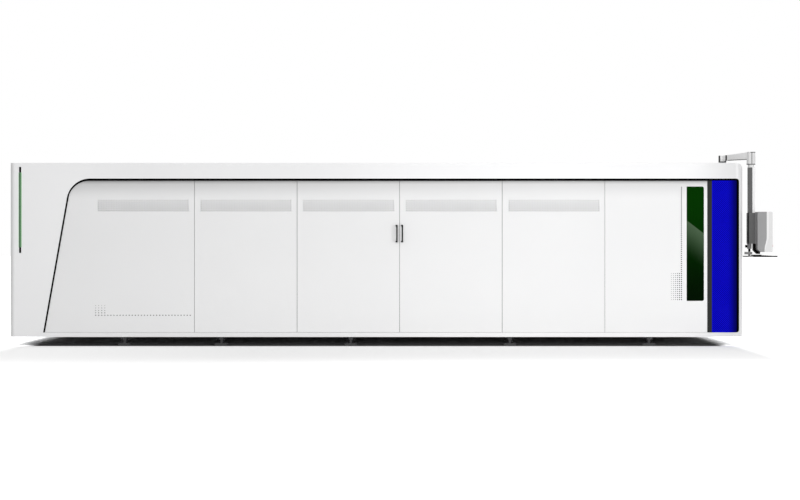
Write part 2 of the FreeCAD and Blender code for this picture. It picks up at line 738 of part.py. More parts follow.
DOOR_BOTTOM = RECESS_BOTTOM + DOOR_END_GAP
DOOR_TOP = FIELD_TOP - DOOR_END_GAP
DOOR_FACE = NEAR + PANEL_RECESS
DOOR_BACK = DOOR_FACE + DOOR_THICKNESS
LEFT_DOOR_EDGE = seam(2) - PANEL_GAP / 2 + DOOR_GAP
RIGHT_DOOR_EDGE = seam(4) + PANEL_GAP / 2 - DOOR_GAP
DOOR_MEETING = seam(3)
PIVOT_Y = DOOR_FACE + DOOR_PIVOT_INSET
LEFT_PIVOT_X = LEFT_DOOR_EDGE + DOOR_PIVOT_INSET
RIGHT_PIVOT_X = RIGHT_DOOR_EDGE - DOOR_PIVOT_INSET


def door_leaf(x0, x1, pivot_x):
    """Folded leaf with a bored block at its upper and lower hinge corners."""
    leaf = box(x0, x1, DOOR_FACE, DOOR_BACK, DOOR_BOTTOM, DOOR_TOP)
    leaf = leaf.cut(box(x0 + PANEL_SHEET, x1 - PANEL_SHEET, DOOR_FACE + PANEL_SHEET,
                        DOOR_BACK + 1, DOOR_BOTTOM + PANEL_SHEET, DOOR_TOP - PANEL_SHEET))
    block_start = x0 if pivot_x - x0 < x1 - pivot_x else x1 - HINGE_BLOCK_WIDTH
    for bottom in (DOOR_BOTTOM, DOOR_TOP - HINGE_BLOCK_HEIGHT):
        leaf = leaf.fuse(box(block_start, block_start + HINGE_BLOCK_WIDTH,
                             DOOR_FACE, DOOR_BACK, bottom, bottom + HINGE_BLOCK_HEIGHT))
    leaf = leaf.removeSplitter()
    bore = DOOR_PIN_RADIUS + RUNNING_FIT
    depth = DOOR_PIN_LENGTH + FIT_GAP
    leaf = leaf.cut(rod(bore, depth, V(pivot_x, PIVOT_Y, DOOR_BOTTOM)))
    return leaf.cut(rod(bore, depth, V(pivot_x, PIVOT_Y, DOOR_TOP - depth)))


def door_pivots():
    """Pins that carry the leaves at their upper and lower hinge corners."""
    pins = []
    length = DOOR_END_GAP + DOOR_PIN_LENGTH
    for x in (LEFT_PIVOT_X, RIGHT_PIVOT_X):
        pins.append(rod(DOOR_PIN_RADIUS, length, V(x, PIVOT_Y, RECESS_BOTTOM)))
        pins.append(rod(DOOR_PIN_RADIUS, length, V(x, PIVOT_Y, FIELD_TOP - length)))
    return pins


def bow_handle(x):
    """Bent bar with two feet, standing on the leaf's face at station x."""
    low, high = centred(HANDLE_CENTRE, HANDLE_LENGTH)
    outer = DOOR_FACE - HANDLE_REACH
    bend = HANDLE_BEND
    bow = [(DOOR_FACE, low, 0.0), (DOOR_FACE, high, 0.0), (outer, high, bend), (outer, low, bend)]
    grip = [(DOOR_FACE + 1, low + HANDLE_ROD, 0.0), (DOOR_FACE + 1, high - HANDLE_ROD, 0.0),
            (outer + HANDLE_ROD, high - HANDLE_ROD, bend - HANDLE_ROD),
            (outer + HANDLE_ROD, low + HANDLE_ROD, bend - HANDLE_ROD)]
    start = x - HANDLE_ROD / 2
    along = V(HANDLE_ROD, 0, 0)
    bar = prism(bow, endways(start), along).cut(prism(grip, endways(start), along))
    x0, x1 = centred(x - HANDLE_FOOT_OFFSET, HANDLE_FOOT_WIDTH)
    front = DOOR_FACE - HANDLE_FOOT_DEPTH
    lower = box(x0, x1, front, DOOR_FACE, low, low + HANDLE_FOOT_HEIGHT)
    upper = box(x0, x1, front, DOOR_FACE, high - HANDLE_FOOT_HEIGHT, high)
    return bar.fuse([lower, upper])


# --- status light -------------------------------------------------------------------------------
def lens_box(clearance):
    left, right = centred(LIGHT_CENTRE, LENS_WIDTH + 2 * clearance)
    front = NEAR - LIGHT_PROUD
    return box(left, right, front, front + LENS_THICKNESS + clearance,
               LIGHT_BOTTOM + LIGHT_CAP - clearance, LIGHT_TOP - LIGHT_CAP + clearance)


def light_housing():
    """Black channel let into the fascia, with a pocket for the lens."""
    left, right = centred(LIGHT_CENTRE, LIGHT_WIDTH)
    channel = box(left, right, NEAR - LIGHT_PROUD, NEAR + LIGHT_DEPTH, LIGHT_BOTTOM, LIGHT_TOP)
    return channel.cut(lens_box(FIT_GAP))


# --- steel frame and roof --------------------------------------------------------------------
def base_frame():
    """Two long tubes, tied by cross tubes over the feet and at both ends."""
    outer = -NEAR - FRAME_FRONT
    inner = outer - BASE_TUBE_WIDTH
    long_tube = tube(LEFT_TANGENT, RIGHT_TANGENT, -outer, -inner,
                     BODY_BOTTOM, BASE_TOP, BASE_WALL)
    tubes = both_sides([long_tube])
    starts = [FRAME_FRONT, BODY_LENGTH - FRAME_FRONT - BASE_TUBE_WIDTH]
    starts += [station - BASE_TUBE_WIDTH / 2 for station in FOOT_STATIONS]
    for start in starts:
        tubes.append(tube(start, start + BASE_TUBE_WIDTH, -inner, inner,
                          BODY_BOTTOM, BASE_TOP, BASE_WALL))
    return tubes


def levelling_feet():
    """Square pads under hexagonal jacking screws with their lock nuts."""
    y = NEAR + FRAME_FRONT + BASE_TUBE_WIDTH / 2
    half = FOOT_PAD_SIZE / 2
    nut_bottom = GROUND_CLEARANCE - FOOT_NUT_HEIGHT
    feet = []
    for x in FOOT_STATIONS:
        pad = box(x - half, x + half, y - half, y + half, 0, FOOT_PAD_HEIGHT)
        screw = prism(regular(x, y, FOOT_SCREW_RADIUS, 6), flat(FOOT_PAD_HEIGHT),
                      V(0, 0, nut_bottom - FOOT_PAD_HEIGHT))
        nut = prism(regular(x, y, FOOT_NUT_RADIUS, 6), flat(nut_bottom),
                    V(0, 0, FOOT_NUT_HEIGHT))
        feet.append(pad.fuse([screw, nut]))
    return both_sides(feet)


def post_starts():
    """Left faces of the uprights along one side."""
    seams = [seam(number) - POST_SIZE / 2 for number in (1, 2, 4, 5)]
    return [LEFT_TANGENT] + seams + [RIGHT_TANGENT - POST_SIZE]


def enclosure_posts():
    """Uprights behind the seams, headers between them, roof rails and roof beams."""
    y0 = NEAR + FRAME_FRONT
    y1 = NEAR + FRAME_BACK
    starts = post_starts()
    side = [tube(x, x + POST_SIZE, y0, y1, BASE_TOP, ROOF_RAIL_BOTTOM, POST_WALL)
            for x in starts]
    for left, right in zip(starts, starts[1:]):
        side.append(tube(left + POST_SIZE, right, y0, y1, HEADER_BOTTOM, HEADER_TOP,
                         POST_WALL))
    side.append(tube(LEFT_TANGENT, RIGHT_TANGENT, y0, y1, ROOF_RAIL_BOTTOM, ROOF_RAIL_TOP,
                     POST_WALL))
    beams = [tube(x, x + POST_SIZE, y1, -y1, ROOF_RAIL_BOTTOM, ROOF_RAIL_TOP, POST_WALL)
             for x in starts]
    return both_sides(side) + beams


def roof_panels():
    """Flat sheets on the roof frame, with open seams between them."""
    half = -NEAR - COVER_DEPTH - FIT_GAP
    start = COVER_DEPTH + FIT_GAP
    pitch = (RIGHT_TANGENT - FIT_GAP - start + ROOF_SEAM) / ROOF_PANEL_COUNT
    sheets = []
    for i in range(ROOF_PANEL_COUNT):
        x = start + i * pitch
        sheet = box(x, x + pitch - ROOF_SEAM, -half, half, ROOF_RAIL_TOP, BODY_TOP)
        sheets.append(sheet.common(plan_prism(start)))
    return sheets


# --- lift door at the left end -------------------------------------------------------------------
LIFT_HALF_WIDTH = DOORWAY_WIDTH / 2 + LIFT_DOOR_OVERLAP
LIFT_BOTTOM = DOORWAY_SILL - LIFT_DOOR_OVERLAP
LIFT_TOP = DOORWAY_SILL + DOORWAY_HEIGHT + LIFT_DOOR_OVERLAP
LIFT_FRONT = COVER_DEPTH + GUIDE_WALL + GUIDE_PLAY
LIFT_BACK = LIFT_FRONT + LIFT_DOOR_THICKNESS


def lift_door():
    """Folded sheet door that rises behind the end wall."""
    door = box(LIFT_FRONT, LIFT_BACK, -LIFT_HALF_WIDTH, LIFT_HALF_WIDTH, LIFT_BOTTOM, LIFT_TOP)
    wall = LIFT_DOOR_SHEET
    half = LIFT_HALF_WIDTH - wall
    return door.cut(box(LIFT_FRONT + wall, LIFT_BACK + 1, -half, half,
                        LIFT_BOTTOM + wall, LIFT_TOP - wall))


def lift_door_guides():
    """Two channels that stand on the base frame and stop the door at its low end."""
    y0 = LIFT_HALF_WIDTH - GUIDE_GRIP
    y1 = LIFT_HALF_WIDTH + GUIDE_PLAY + GUIDE_WALL
    depth = COVER_DEPTH + 2 * (GUIDE_WALL + GUIDE_PLAY) + LIFT_DOOR_THICKNESS
    top = LIFT_TOP + LIFT_TRAVEL + GUIDE_WALL
    guide = box(COVER_DEPTH, depth, y0, y1, BASE_TOP, top)
    slot = box(COVER_DEPTH + GUIDE_WALL, depth - GUIDE_WALL, y0 - 1, y1 - GUIDE_WALL,
               LIFT_BOTTOM, top + 1)
    return both_sides([guide.cut(slot)])


# --- bed ----------------------------------------------------------------------------------------
def exhaust_place():
    """Station and height of the outlet, in the middle of the far panel it serves."""
    return (seam(EXHAUST_PANEL - 1) + seam(EXHAUST_PANEL)) / 2, EXHAUST_HEIGHT


EXHAUST_DUCT_HALF = EXHAUST_RADIUS + EXHAUST_DUCT_GAP      # clear half width of the duct


def exhaust_block(half, y0, y1):
    """Square block on the outlet's axis, between two planes."""
    x, z = exhaust_place()
    return box(x - half, x + half, y0, y1, z - half, z + half)


def machine_bed():
    """Two welded box beams with suction ports, cross tubes and ledges for the pallet."""
    beam = tube(BED_START, BED_END, -BED_OUTER, -BED_INNER, BASE_TOP, BED_TOP, BED_WALL)
    z0, z1 = centred(EXHAUST_HEIGHT, PORT_HEIGHT)
    ports = [box(x, x + PORT_LENGTH, -BED_INNER - BED_WALL - 1, -BED_INNER + 1, z0, z1)
             for x in spread(PALLET_START, PALLET_START + PALLET_LENGTH - PORT_LENGTH, PORT_COUNT)]
    near_beam = beam.cut(ports)
    outlet = exhaust_block(EXHAUST_DUCT_HALF, BED_OUTER - BED_WALL - 1, BED_OUTER + 1)
    solids = [near_beam, mirrored(near_beam).cut(outlet)]
    span = BED_LENGTH - BED_CROSS_WIDTH
    for x in spread(BED_START, BED_START + span, BED_CROSS_COUNT):
        solids.append(tube(x, x + BED_CROSS_WIDTH, -BED_INNER, BED_INNER, BASE_TOP,
                           BASE_TOP + BED_CROSS_HEIGHT, BED_CROSS_WALL))
    ledge = box(PALLET_START, PALLET_START + PALLET_LENGTH, -BED_INNER,
                -BED_INNER + LEDGE_WIDTH, LEDGE_TOP - LEDGE_THICKNESS, LEDGE_TOP)
    return solids + both_sides([ledge])


def guide_rails():
    """Profiled linear rails on top of the bed: waisted, as the blocks grip them."""
    low, high = centred(BED_TOP + RAIL_HEIGHT / 2, RAIL_GROOVE)
    right = [(RAIL_WIDTH, BED_TOP), (RAIL_WIDTH, low), (RAIL_WAIST, (low + high) / 2),
             (RAIL_WIDTH, high), (RAIL_WIDTH, RAIL_TOP)]
    left = [(-width, z) for width, z in reversed(right)]
    placed = [(width / 2 - RAIL_CENTRE, z, 0.0) for width, z in right + left]
    start = BED_START + RAIL_END_MARGIN
    rail = prism(placed, endways(start), V(BED_LENGTH - 2 * RAIL_END_MARGIN, 0, 0))
    return both_sides([rail])


RACK_OUTER = RAIL_CENTRE - RAIL_WIDTH / 2 - RAIL_TO_RACK
RACK_INNER = RACK_OUTER - RACK_WIDTH
PINION_CENTRE = RACK_INNER - TIP_RADIUS - FIT_GAP


def gear_racks():
    """Rack bars beside the rails, their toothed faces towards the middle."""
    start = BED_START + RAIL_END_MARGIN
    end = BED_END - RAIL_END_MARGIN
    return both_sides([box(start, end, -RACK_OUTER, -RACK_INNER, BED_TOP, BED_TOP + RACK_HEIGHT)])


# --- pallet and scrap ---------------------------------------------------------------------------
def pallet_frame():
    """Tube frame that carries the sheet on its slats, standing on shoes."""
    x0, x1 = PALLET_START, PALLET_START + PALLET_LENGTH
    side = tube(x0, x1, -PALLET_HALF, -PALLET_HALF + PALLET_RAIL_WIDTH,
                PALLET_BOTTOM, SLAT_BOTTOM, PALLET_WALL)
    inner = PALLET_HALF - PALLET_RAIL_WIDTH
    solids = both_sides([side])
    for x in spread(x0, x1 - PALLET_RAIL_WIDTH, PALLET_CROSS_COUNT):
        solids.append(tube(x, x + PALLET_RAIL_WIDTH, -inner, inner,
                           PALLET_BOTTOM, SLAT_BOTTOM, PALLET_WALL))
        shoe_start = min(x, x1 - PALLET_SHOE_LENGTH)
        shoe = box(shoe_start, shoe_start + PALLET_SHOE_LENGTH, -PALLET_HALF,
                   -BED_INNER + LEDGE_WIDTH, LEDGE_TOP, PALLET_BOTTOM)
        solids += both_sides([shoe])
    return solids


def support_slats():
    """Upright steel slats with pointed teeth, the sheet's rest."""
    half = PALLET_HALF - SLAT_END_GAP
    pitch = 2 * half / SLAT_TEETH
    root = SLAT_TOP - SLAT_TOOTH_DEPTH
    corners = [V(0, -half, SLAT_BOTTOM), V(0, -half, root)]
    for i in range(SLAT_TEETH):
        start = -half + i * pitch
        corners.append(V(0, start + pitch / 2, SLAT_TOP))
        corners.append(V(0, start + pitch, root))
    corners += [V(0, half, SLAT_BOTTOM), V(0, -half, SLAT_BOTTOM)]
    slat = Part.Face(Part.makePolygon(corners)).extrude(V(SLAT_THICKNESS, 0, 0))
    first = PALLET_START + SLAT_INSET
    last = PALLET_START + PALLET_LENGTH - SLAT_INSET - SLAT_THICKNESS
    return [slat.translated(V(x, 0, 0)) for x in spread(first, last, SLAT_COUNT)]


def tapered_block(x0, x1, half, z0, z1, draft):
    """Block whose four walls lean out by the draft between its foot and its rim."""
    side = [(x0 + draft, z0, 0.0), (x1 - draft, z0, 0.0), (x1, z1, 0.0), (x0, z1, 0.0)]
    end = [(draft - half, z0, 0.0), (half - draft, z0, 0.0), (half, z1, 0.0), (-half, z1, 0.0)]
    along = prism(side, sideways(-half), V(0, 2 * half, 0))
    return along.common(prism(end, endways(x0), V(x1 - x0, 0, 0)))


def scrap_bins():
    """Open bins on the bed's cross tubes, their walls leaning out to the rim."""
    gap = (PALLET_LENGTH - BIN_COUNT * BIN_LENGTH) / (BIN_COUNT + 1)
    rim = BIN_BOTTOM + BIN_HEIGHT
    half = BIN_WIDTH / 2
    bins = []
    for i in range(BIN_COUNT):
        x0 = PALLET_START + gap + i * (BIN_LENGTH + gap)
        x1 = x0 + BIN_LENGTH
        outer = tapered_block(x0, x1, half, BIN_BOTTOM, rim, BIN_DRAFT)
        inner = tapered_block(x0 + BIN_SHEET, x1 - BIN_SHEET, half - BIN_SHEET,
                              BIN_BOTTOM + BIN_SHEET, rim, BIN_DRAFT)
        bins.append(outer.cut(inner))
    return bins


def scrap_chutes():
    """Sloping plates from the bed beams down to the bins' rims."""
    x0, x1 = PALLET_START, PALLET_START + PALLET_LENGTH
    top_z = LEDGE_TOP - LEDGE_THICKNESS - CHUTE_TOP_DROP
    low_z = BIN_BOTTOM + BIN_HEIGHT
    top_y = -BED_INNER
    low_y = -BIN_WIDTH / 2 + BIN_SHEET
    corners = [V(x0, top_y, top_z), V(x0, low_y, low_z + CHUTE_SHEET + FIT_GAP),
               V(x0, low_y, low_z + FIT_GAP), V(x0, top_y, top_z - CHUTE_SHEET),
               V(x0, top_y, top_z)]
    plate = Part.Face(Part.makePolygon(corners)).extrude(V(x1 - x0, 0, 0))
    return both_sides([plate])


def exhaust_duct():
    """Square duct from the far bed beam to a flange with the round outlet."""
    face = -NEAR - PANEL_RECESS
    duct = exhaust_block(EXHAUST_DUCT_HALF + EXHAUST_SHEET, BED_OUTER, face)
    duct = duct.cut(exhaust_block(EXHAUST_DUCT_HALF, BED_OUTER - 1, face + 1))
    flange = exhaust_block(EXHAUST_FLANGE / 2, face, face + EXHAUST_FLANGE_THICKNESS)
    x, z = exhaust_place()
    outlet = rod(EXHAUST_RADIUS, EXHAUST_FLANGE_THICKNESS + 2, V(x, face - 1, z), V(0, 1, 0))
    return flange.cut(outlet).fuse(duct)


# --- gantry --------------------------------------------------------------------------------------
TRUCK_OUTER = RAIL_CENTRE + BLOCK_WIDTH / 2 + TRUCK_MARGIN
MOTOR_X = GANTRY_PARK + BEAM_WIDTH / 2 + MOTOR_TO_BEAM + MOTOR_SIZE / 2


def rail_block(x, y):
    """Bearing block that straddles a rail."""
    half = BLOCK_LENGTH / 2
    y0, y1 = centred(y, BLOCK_WIDTH)
    block = box(x - half, x + half, y0, y1, BED_TOP + BLOCK_LIFT, TRUCK_BOTTOM)
    y0, y1 = centred(y, RAIL_WIDTH + 2 * RAIL_PLAY)
    return block.cut(box(x - half - 1, x + half + 1, y0, y1, BED_TOP, RAIL_TOP + RAIL_PLAY))


def gantry_trucks():
    """On each side a plate on two rail blocks, with a riser under the beam."""
    x0, x1 = centred(GANTRY_PARK, TRUCK_LENGTH)
    plate = box(x0, x1, -TRUCK_OUTER, -TRUCK_OUTER + TRUCK_WIDTH, TRUCK_BOTTOM, TRUCK_TOP)
    hole = MOTOR_SHAFT_RADIUS + SHAFT_CLEARANCE
    plate = plate.cut(box(MOTOR_X - hole, MOTOR_X + hole, -PINION_CENTRE - hole,
                          -PINION_CENTRE + hole, TRUCK_BOTTOM - 1, TRUCK_TOP + 1))
    inset_x = BLOCK_LENGTH / 2
    blocks = [rail_block(x, -RAIL_CENTRE) for x in (x0 + inset_x, x1 - inset_x)]
    x0, x1 = centred(GANTRY_PARK, BEAM_WIDTH)
    riser = tube(x0, x1, -TRUCK_OUTER, -TRUCK_OUTER + RISER_WIDTH, TRUCK_TOP, BEAM_BOTTOM,
                 BEAM_WALL)
    return both_sides([plate, riser] + blocks)


def gantry_beam():
    """Hollow beam across the machine, chamfered at the back and closed by end plates."""
    x0, x1 = centred(GANTRY_PARK, BEAM_WIDTH)
    top = BEAM_BOTTOM + BEAM_HEIGHT
    section = [(x0, BEAM_BOTTOM, 0.0), (x1, BEAM_BOTTOM, 0.0), (x1, top - BEAM_CHAMFER, 0.0),
               (x1 - BEAM_CHAMFER, top, 0.0), (x0, top, 0.0)]
    half = TRUCK_OUTER
    beam = prism(section, sideways(-half), V(0, 2 * half, 0))
    inner = half - BEAM_WALL
    return beam.cut(prism(inset(section, BEAM_WALL), sideways(-inner), V(0, 2 * inner, 0)))


def cross_rail_heights():
    top = BEAM_BOTTOM + BEAM_HEIGHT
    return BEAM_BOTTOM + CROSS_RAIL_INSET, top - CROSS_RAIL_INSET


def cross_rails():
    """Rails on the beam's front, for the carriage."""
    half = CARRIAGE_TRAVEL + CARRIAGE_WIDTH / 2 + CROSS_RAIL_MARGIN
    rails = []
    for z in cross_rail_heights():
        z0, z1 = centred(z, CROSS_RAIL_SIZE)
        rails.append(box(BEAM_FRONT - CROSS_RAIL_SIZE, BEAM_FRONT, -half, half, z0, z1))
    return rails


def pinion(side):
    """Spur pinion with its shaft; side is -1 on the near rack and +1 on the far one."""
    y = side * PINION_CENTRE
    root = PITCH_RADIUS - DEDENDUM * PINION_MODULE
    tooth_angle = 2 * math.pi / PINION_TEETH
    tooth = ((0.0, root), (TOOTH_ROOT_START, root), (TOOTH_CREST_START, TIP_RADIUS),
             (TOOTH_CREST_END, TIP_RADIUS))
    corners = []
    for i in range(PINION_TEETH):
        for share, radius in tooth:
            angle = (i + share) * tooth_angle
            corners.append(V(MOTOR_X + radius * math.cos(angle), y + radius * math.sin(angle),
                             BED_TOP + PINION_LIFT))
    gear = Part.Face(Part.makePolygon(corners + corners[:1])).extrude(V(0, 0, PINION_HEIGHT))
    gear_top = BED_TOP + PINION_LIFT + PINION_HEIGHT
    shaft = prism(regular(MOTOR_X, y, MOTOR_SHAFT_RADIUS, 6), flat(gear_top),
                  V(0, 0, TRUCK_TOP - SWIVEL_GAP - gear_top))
    return gear.fuse(shaft)


def drive_motors():
    """Upright motors on their gearboxes, one on each truck."""
    motors = []
    for side in (-1, 1):
        y = side * PINION_CENTRE
        x0, x1 = centred(MOTOR_X, GEARBOX_SIZE)
        y0, y1 = centred(y, GEARBOX_SIZE)
        motor_bottom = TRUCK_TOP + GEARBOX_HEIGHT
        gearbox = box(x0, x1, y0, y1, TRUCK_TOP, motor_bottom)
        outline = chamfered(*centred(MOTOR_X, MOTOR_SIZE), *centred(y, MOTOR_SIZE), MOTOR_EDGE)
        motor = prism(outline, flat(motor_bottom), V(0, 0, MOTOR_HEIGHT))
        motors.append(gearbox.fuse(motor))
    return motors


CARRIAGE_BACK = BEAM_FRONT - CROSS_BLOCK_THICKNESS
CARRIAGE_FRONT = CARRIAGE_BACK - CARRIAGE_THICKNESS
CARRIAGE_BOTTOM = BEAM_BOTTOM - CARRIAGE_DROP
CARRIAGE_TOP = CARRIAGE_BOTTOM + CARRIAGE_HEIGHT
SLIDE_BACK = CARRIAGE_FRONT - SLIDE_GUIDE_DEPTH - RAIL_PLAY
SLIDE_FRONT = SLIDE_BACK - SLIDE_THICKNESS
NOZZLE_TIP = SLAT_TOP + WORK_GAP + HEAD_TRAVEL
HEAD_BOTTOM = NOZZLE_TIP + NOZZLE_LENGTH
HEAD_AXIS_X = SLIDE_FRONT - HEAD_DEPTH / 2


def carriage():
    """Plate on four cross blocks, with the head's guides and its lifting motor."""
    y0, y1 = centred(0, CARRIAGE_WIDTH)
    solids = [box(CARRIAGE_FRONT, CARRIAGE_BACK, y0, y1, CARRIAGE_BOTTOM, CARRIAGE_TOP)]
    for z in cross_rail_heights():
        z0, z1 = centred(z, CROSS_BLOCK_HEIGHT)
        g0, g1 = centred(z, CROSS_RAIL_SIZE + 2 * RAIL_PLAY)
        for start in (y0, y1 - CROSS_BLOCK_LENGTH):
            end = start + CROSS_BLOCK_LENGTH
            block = box(CARRIAGE_BACK, BEAM_FRONT - RAIL_PLAY, start, end, z0, z1)
            groove = box(BEAM_FRONT - CROSS_RAIL_SIZE - RAIL_PLAY, BEAM_FRONT,
                         start - 1, end + 1, g0, g1)
            solids.append(block.cut(groove))
    outer = SLIDE_WIDTH / 2 - SLIDE_CHEEK - RAIL_PLAY
    guide = box(CARRIAGE_FRONT - SLIDE_GUIDE_DEPTH, CARRIAGE_FRONT, -outer,
                -outer + SLIDE_GUIDE_WIDTH, CARRIAGE_BOTTOM + SLIDE_GUIDE_MARGIN,
                CARRIAGE_TOP - SLIDE_GUIDE_MARGIN)
    solids += both_sides([guide])
    y0, y1 = centred(0, Z_MOTOR_SIZE)
    outline = chamfered(CARRIAGE_FRONT, CARRIAGE_FRONT + Z_MOTOR_SIZE, y0, y1, MOTOR_EDGE)
    solids.append(prism(outline, flat(CARRIAGE_TOP), V(0, 0, Z_MOTOR_HEIGHT)))
    return solids


def head_slide():
    """Lifting slide: a plate with cheeks that grip the guides from outside."""
    half = SLIDE_WIDTH / 2
    bottom = HEAD_BOTTOM - SLIDE_OVERHANG
    plan = [(SLIDE_FRONT, -half, 0.0), (SLIDE_BACK + SLIDE_GUIDE_DEPTH, -half, 0.0),
            (SLIDE_BACK + SLIDE_GUIDE_DEPTH, SLIDE_CHEEK - half, 0.0),
            (SLIDE_BACK, SLIDE_CHEEK - half, 0.0), (SLIDE_BACK, half - SLIDE_CHEEK, 0.0),
            (SLIDE_BACK + SLIDE_GUIDE_DEPTH, half - SLIDE_CHEEK, 0.0),
            (SLIDE_BACK + SLIDE_GUIDE_DEPTH, half, 0.0), (SLIDE_FRONT, half, 0.0)]
    return prism(plan, flat(bottom), V(0, 0, SLIDE_HEIGHT))


def flat_ring(radius, z):
    """Closed outline about the head's axis at one height."""
    corners = [V(u, v, z) for u, v, _ in regular(HEAD_AXIS_X, 0, radius, NOZZLE_SIDES)]
    return Part.makePolygon(corners + corners[:1])


def cutting_head():
    """Head body with its conical nozzle below and the fibre's socket on top."""
    half = HEAD_WIDTH / 2
    outline = chamfered(HEAD_AXIS_X - HEAD_DEPTH / 2, SLIDE_FRONT, -half, half, HEAD_EDGE)
    body = prism(outline, flat(HEAD_BOTTOM), V(0, 0, HEAD_HEIGHT))
    top = HEAD_BOTTOM + HEAD_HEIGHT
    socket = prism(chamfered(*centred(HEAD_AXIS_X, FIBRE_SOCKET_SIZE),
                             *centred(0, FIBRE_SOCKET_SIZE), FIBRE_SOCKET_SIZE / 4),
                   flat(top), V(0, 0, FIBRE_SOCKET_HEIGHT))
    shoulder = NOZZLE_TIP + NOZZLE_CONE_LENGTH
    barrel = prism(regular(HEAD_AXIS_X, 0, NOZZLE_BODY_RADIUS, NOZZLE_SIDES), flat(shoulder),
                   V(0, 0, HEAD_BOTTOM - shoulder))
    tip = Part.makeLoft([flat_ring(NOZZLE_TIP_RADIUS, NOZZLE_TIP),
                         flat_ring(NOZZLE_CONE_RADIUS, shoulder)], True, True)
    return body.fuse([socket, barrel, tip])


# --- control pendant ------------------------------------------------------------------------------
PEDESTAL_TOP = BODY_TOP + PENDANT_PLATE_THICKNESS + PENDANT_PEDESTAL_HEIGHT
HUB_BOTTOM = PEDESTAL_TOP + SWIVEL_GAP
HUB_TOP = HUB_BOTTOM + PENDANT_HUB_HEIGHT
COLLAR_TOP = ELBOW_BOTTOM - SWIVEL_GAP
COLUMN_TOP = COLLAR_TOP - COLLAR_HEIGHT
COLLAR_LEFT = ELBOW_X - COLLAR_RADIUS
BOX_LEFT = ELBOW_X - BRACKET_BOX_WIDTH / 2
BOX_RIGHT = BOX_LEFT + BRACKET_BOX_WIDTH
HMI_BACK = BOX_RIGHT + HMI_MOUNT_GAP
HMI_FRONT = HMI_BACK + HMI_DEPTH
BEZEL_BACK = HMI_FRONT - BEZEL_DEPTH
CLAMP_BOTTOM = BRACKET_BOX_BOTTOM - CLAMP_HEIGHT
CLAMP_X = ELBOW_X - BRACKET_BOX_WIDTH / 2 + CLAMP_WIDTH / 2
KNOB_Z = CLAMP_BOTTOM + CLAMP_HEIGHT / 2


def pendant_base():
    """Plate and pedestal on the roof, with the arm's pivot pin."""
    half = PENDANT_PLATE / 2
    plate_top = BODY_TOP + PENDANT_PLATE_THICKNESS
    base = box(HUB_X - half, HUB_X + half, HUB_Y - half, HUB_Y + half, BODY_TOP, plate_top)
    half = PENDANT_PEDESTAL_SIZE / 2
    pedestal = box(HUB_X - half, HUB_X + half, HUB_Y - half, HUB_Y + half,
                   plate_top, PEDESTAL_TOP)
    pin = rod(PENDANT_PIN_RADIUS, HUB_TOP - PENDANT_CAP - FIT_GAP - PEDESTAL_TOP,
              V(HUB_X, HUB_Y, PEDESTAL_TOP))
    return base.fuse([pedestal, pin])


def pendant_arm():
    """Cast arm from the roof pivot to the elbow, deeper and wider towards the elbow."""
    reach = V(ELBOW_X - HUB_X, ELBOW_Y - HUB_Y, 0)
    length = reach.Length
    half_start, half_end = ARM_WIDTH_AT_HUB / 2, ARM_WIDTH_AT_ELBOW / 2
    top_start, top_end = ARM_UNDERSIDE + ARM_HEIGHT_AT_HUB, ELBOW_TOP - SHEET
    side = [(0, ARM_UNDERSIDE, 0.0), (length, ARM_UNDERSIDE, 0.0), (length, top_end, 0.0),
            (0, top_start, 0.0)]
    plan = [(0, -half_start, 0.0), (length, -half_end, 0.0), (length, half_end, 0.0),
            (0, half_start, 0.0)]
    beam = prism(side, sideways(-half_end), V(0, 2 * half_end, 0))
    beam = beam.common(prism(plan, flat(ARM_UNDERSIDE), V(0, 0, top_end - ARM_UNDERSIDE)))
    beam.rotate(V(0, 0, 0), V(0, 0, 1), math.degrees(math.atan2(reach.y, reach.x)))
    beam.translate(V(HUB_X, HUB_Y, 0))
    hub = prism(chamfered(*centred(HUB_X, PENDANT_HUB_SIZE), *centred(HUB_Y, PENDANT_HUB_SIZE),
                          ELBOW_EDGE), flat(HUB_BOTTOM), V(0, 0, PENDANT_HUB_HEIGHT))
    elbow = prism(chamfered(*centred(ELBOW_X, ELBOW_SIZE), *centred(ELBOW_Y, ELBOW_SIZE),
                            ELBOW_EDGE), flat(ELBOW_BOTTOM), V(0, 0, ELBOW_TOP - ELBOW_BOTTOM))
    arm = hub.fuse([beam, elbow])
    bore = PENDANT_PIN_RADIUS + RUNNING_FIT
    hub_bore = rod(bore, PENDANT_HUB_HEIGHT - PENDANT_CAP, V(HUB_X, HUB_Y, HUB_BOTTOM))
    return arm.cut([hub_bore, rod(bore, ELBOW_PIN_LENGTH, V(ELBOW_X, ELBOW_Y, ELBOW_BOTTOM))])


def tray_post_box(grown, bottom, top):
    x0, x1 = centred(CLAMP_X, TRAY_POST_WIDTH + 2 * grown)
    y0, y1 = centred(ELBOW_Y, TRAY_POST_DEPTH + 2 * grown)
    return box(x0, x1, y0, y1, bottom, top)


def pendant_column():
    """Swivel pin and collar, column profile and the box that holds the control panel."""
    pin = rod(PENDANT_PIN_RADIUS, ELBOW_PIN_LENGTH + SWIVEL_GAP - FIT_GAP,
              V(ELBOW_X, ELBOW_Y, COLLAR_TOP))
    collar = rod(COLLAR_RADIUS, COLLAR_HEIGHT, V(ELBOW_X, ELBOW_Y, COLUMN_TOP))
    y0, y1 = centred(ELBOW_Y, COLUMN_DEPTH)
    column = box(COLLAR_LEFT, COLLAR_LEFT + COLUMN_WIDTH, y0, y1, BRACKET_BOX_TOP, COLUMN_TOP)
    y0, y1 = centred(ELBOW_Y, BRACKET_BOX_DEPTH)
    housing = box(BOX_LEFT, BOX_RIGHT, y0, y1, BRACKET_BOX_BOTTOM, BRACKET_BOX_TOP)
    well_top = CLAMP_BOTTOM + TRAY_POST_HIDDEN + FIT_GAP
    housing = housing.cut(tray_post_box(FIT_GAP, BRACKET_BOX_BOTTOM - 1, well_top))
    return pin.fuse([collar, column, housing]).removeSplitter()


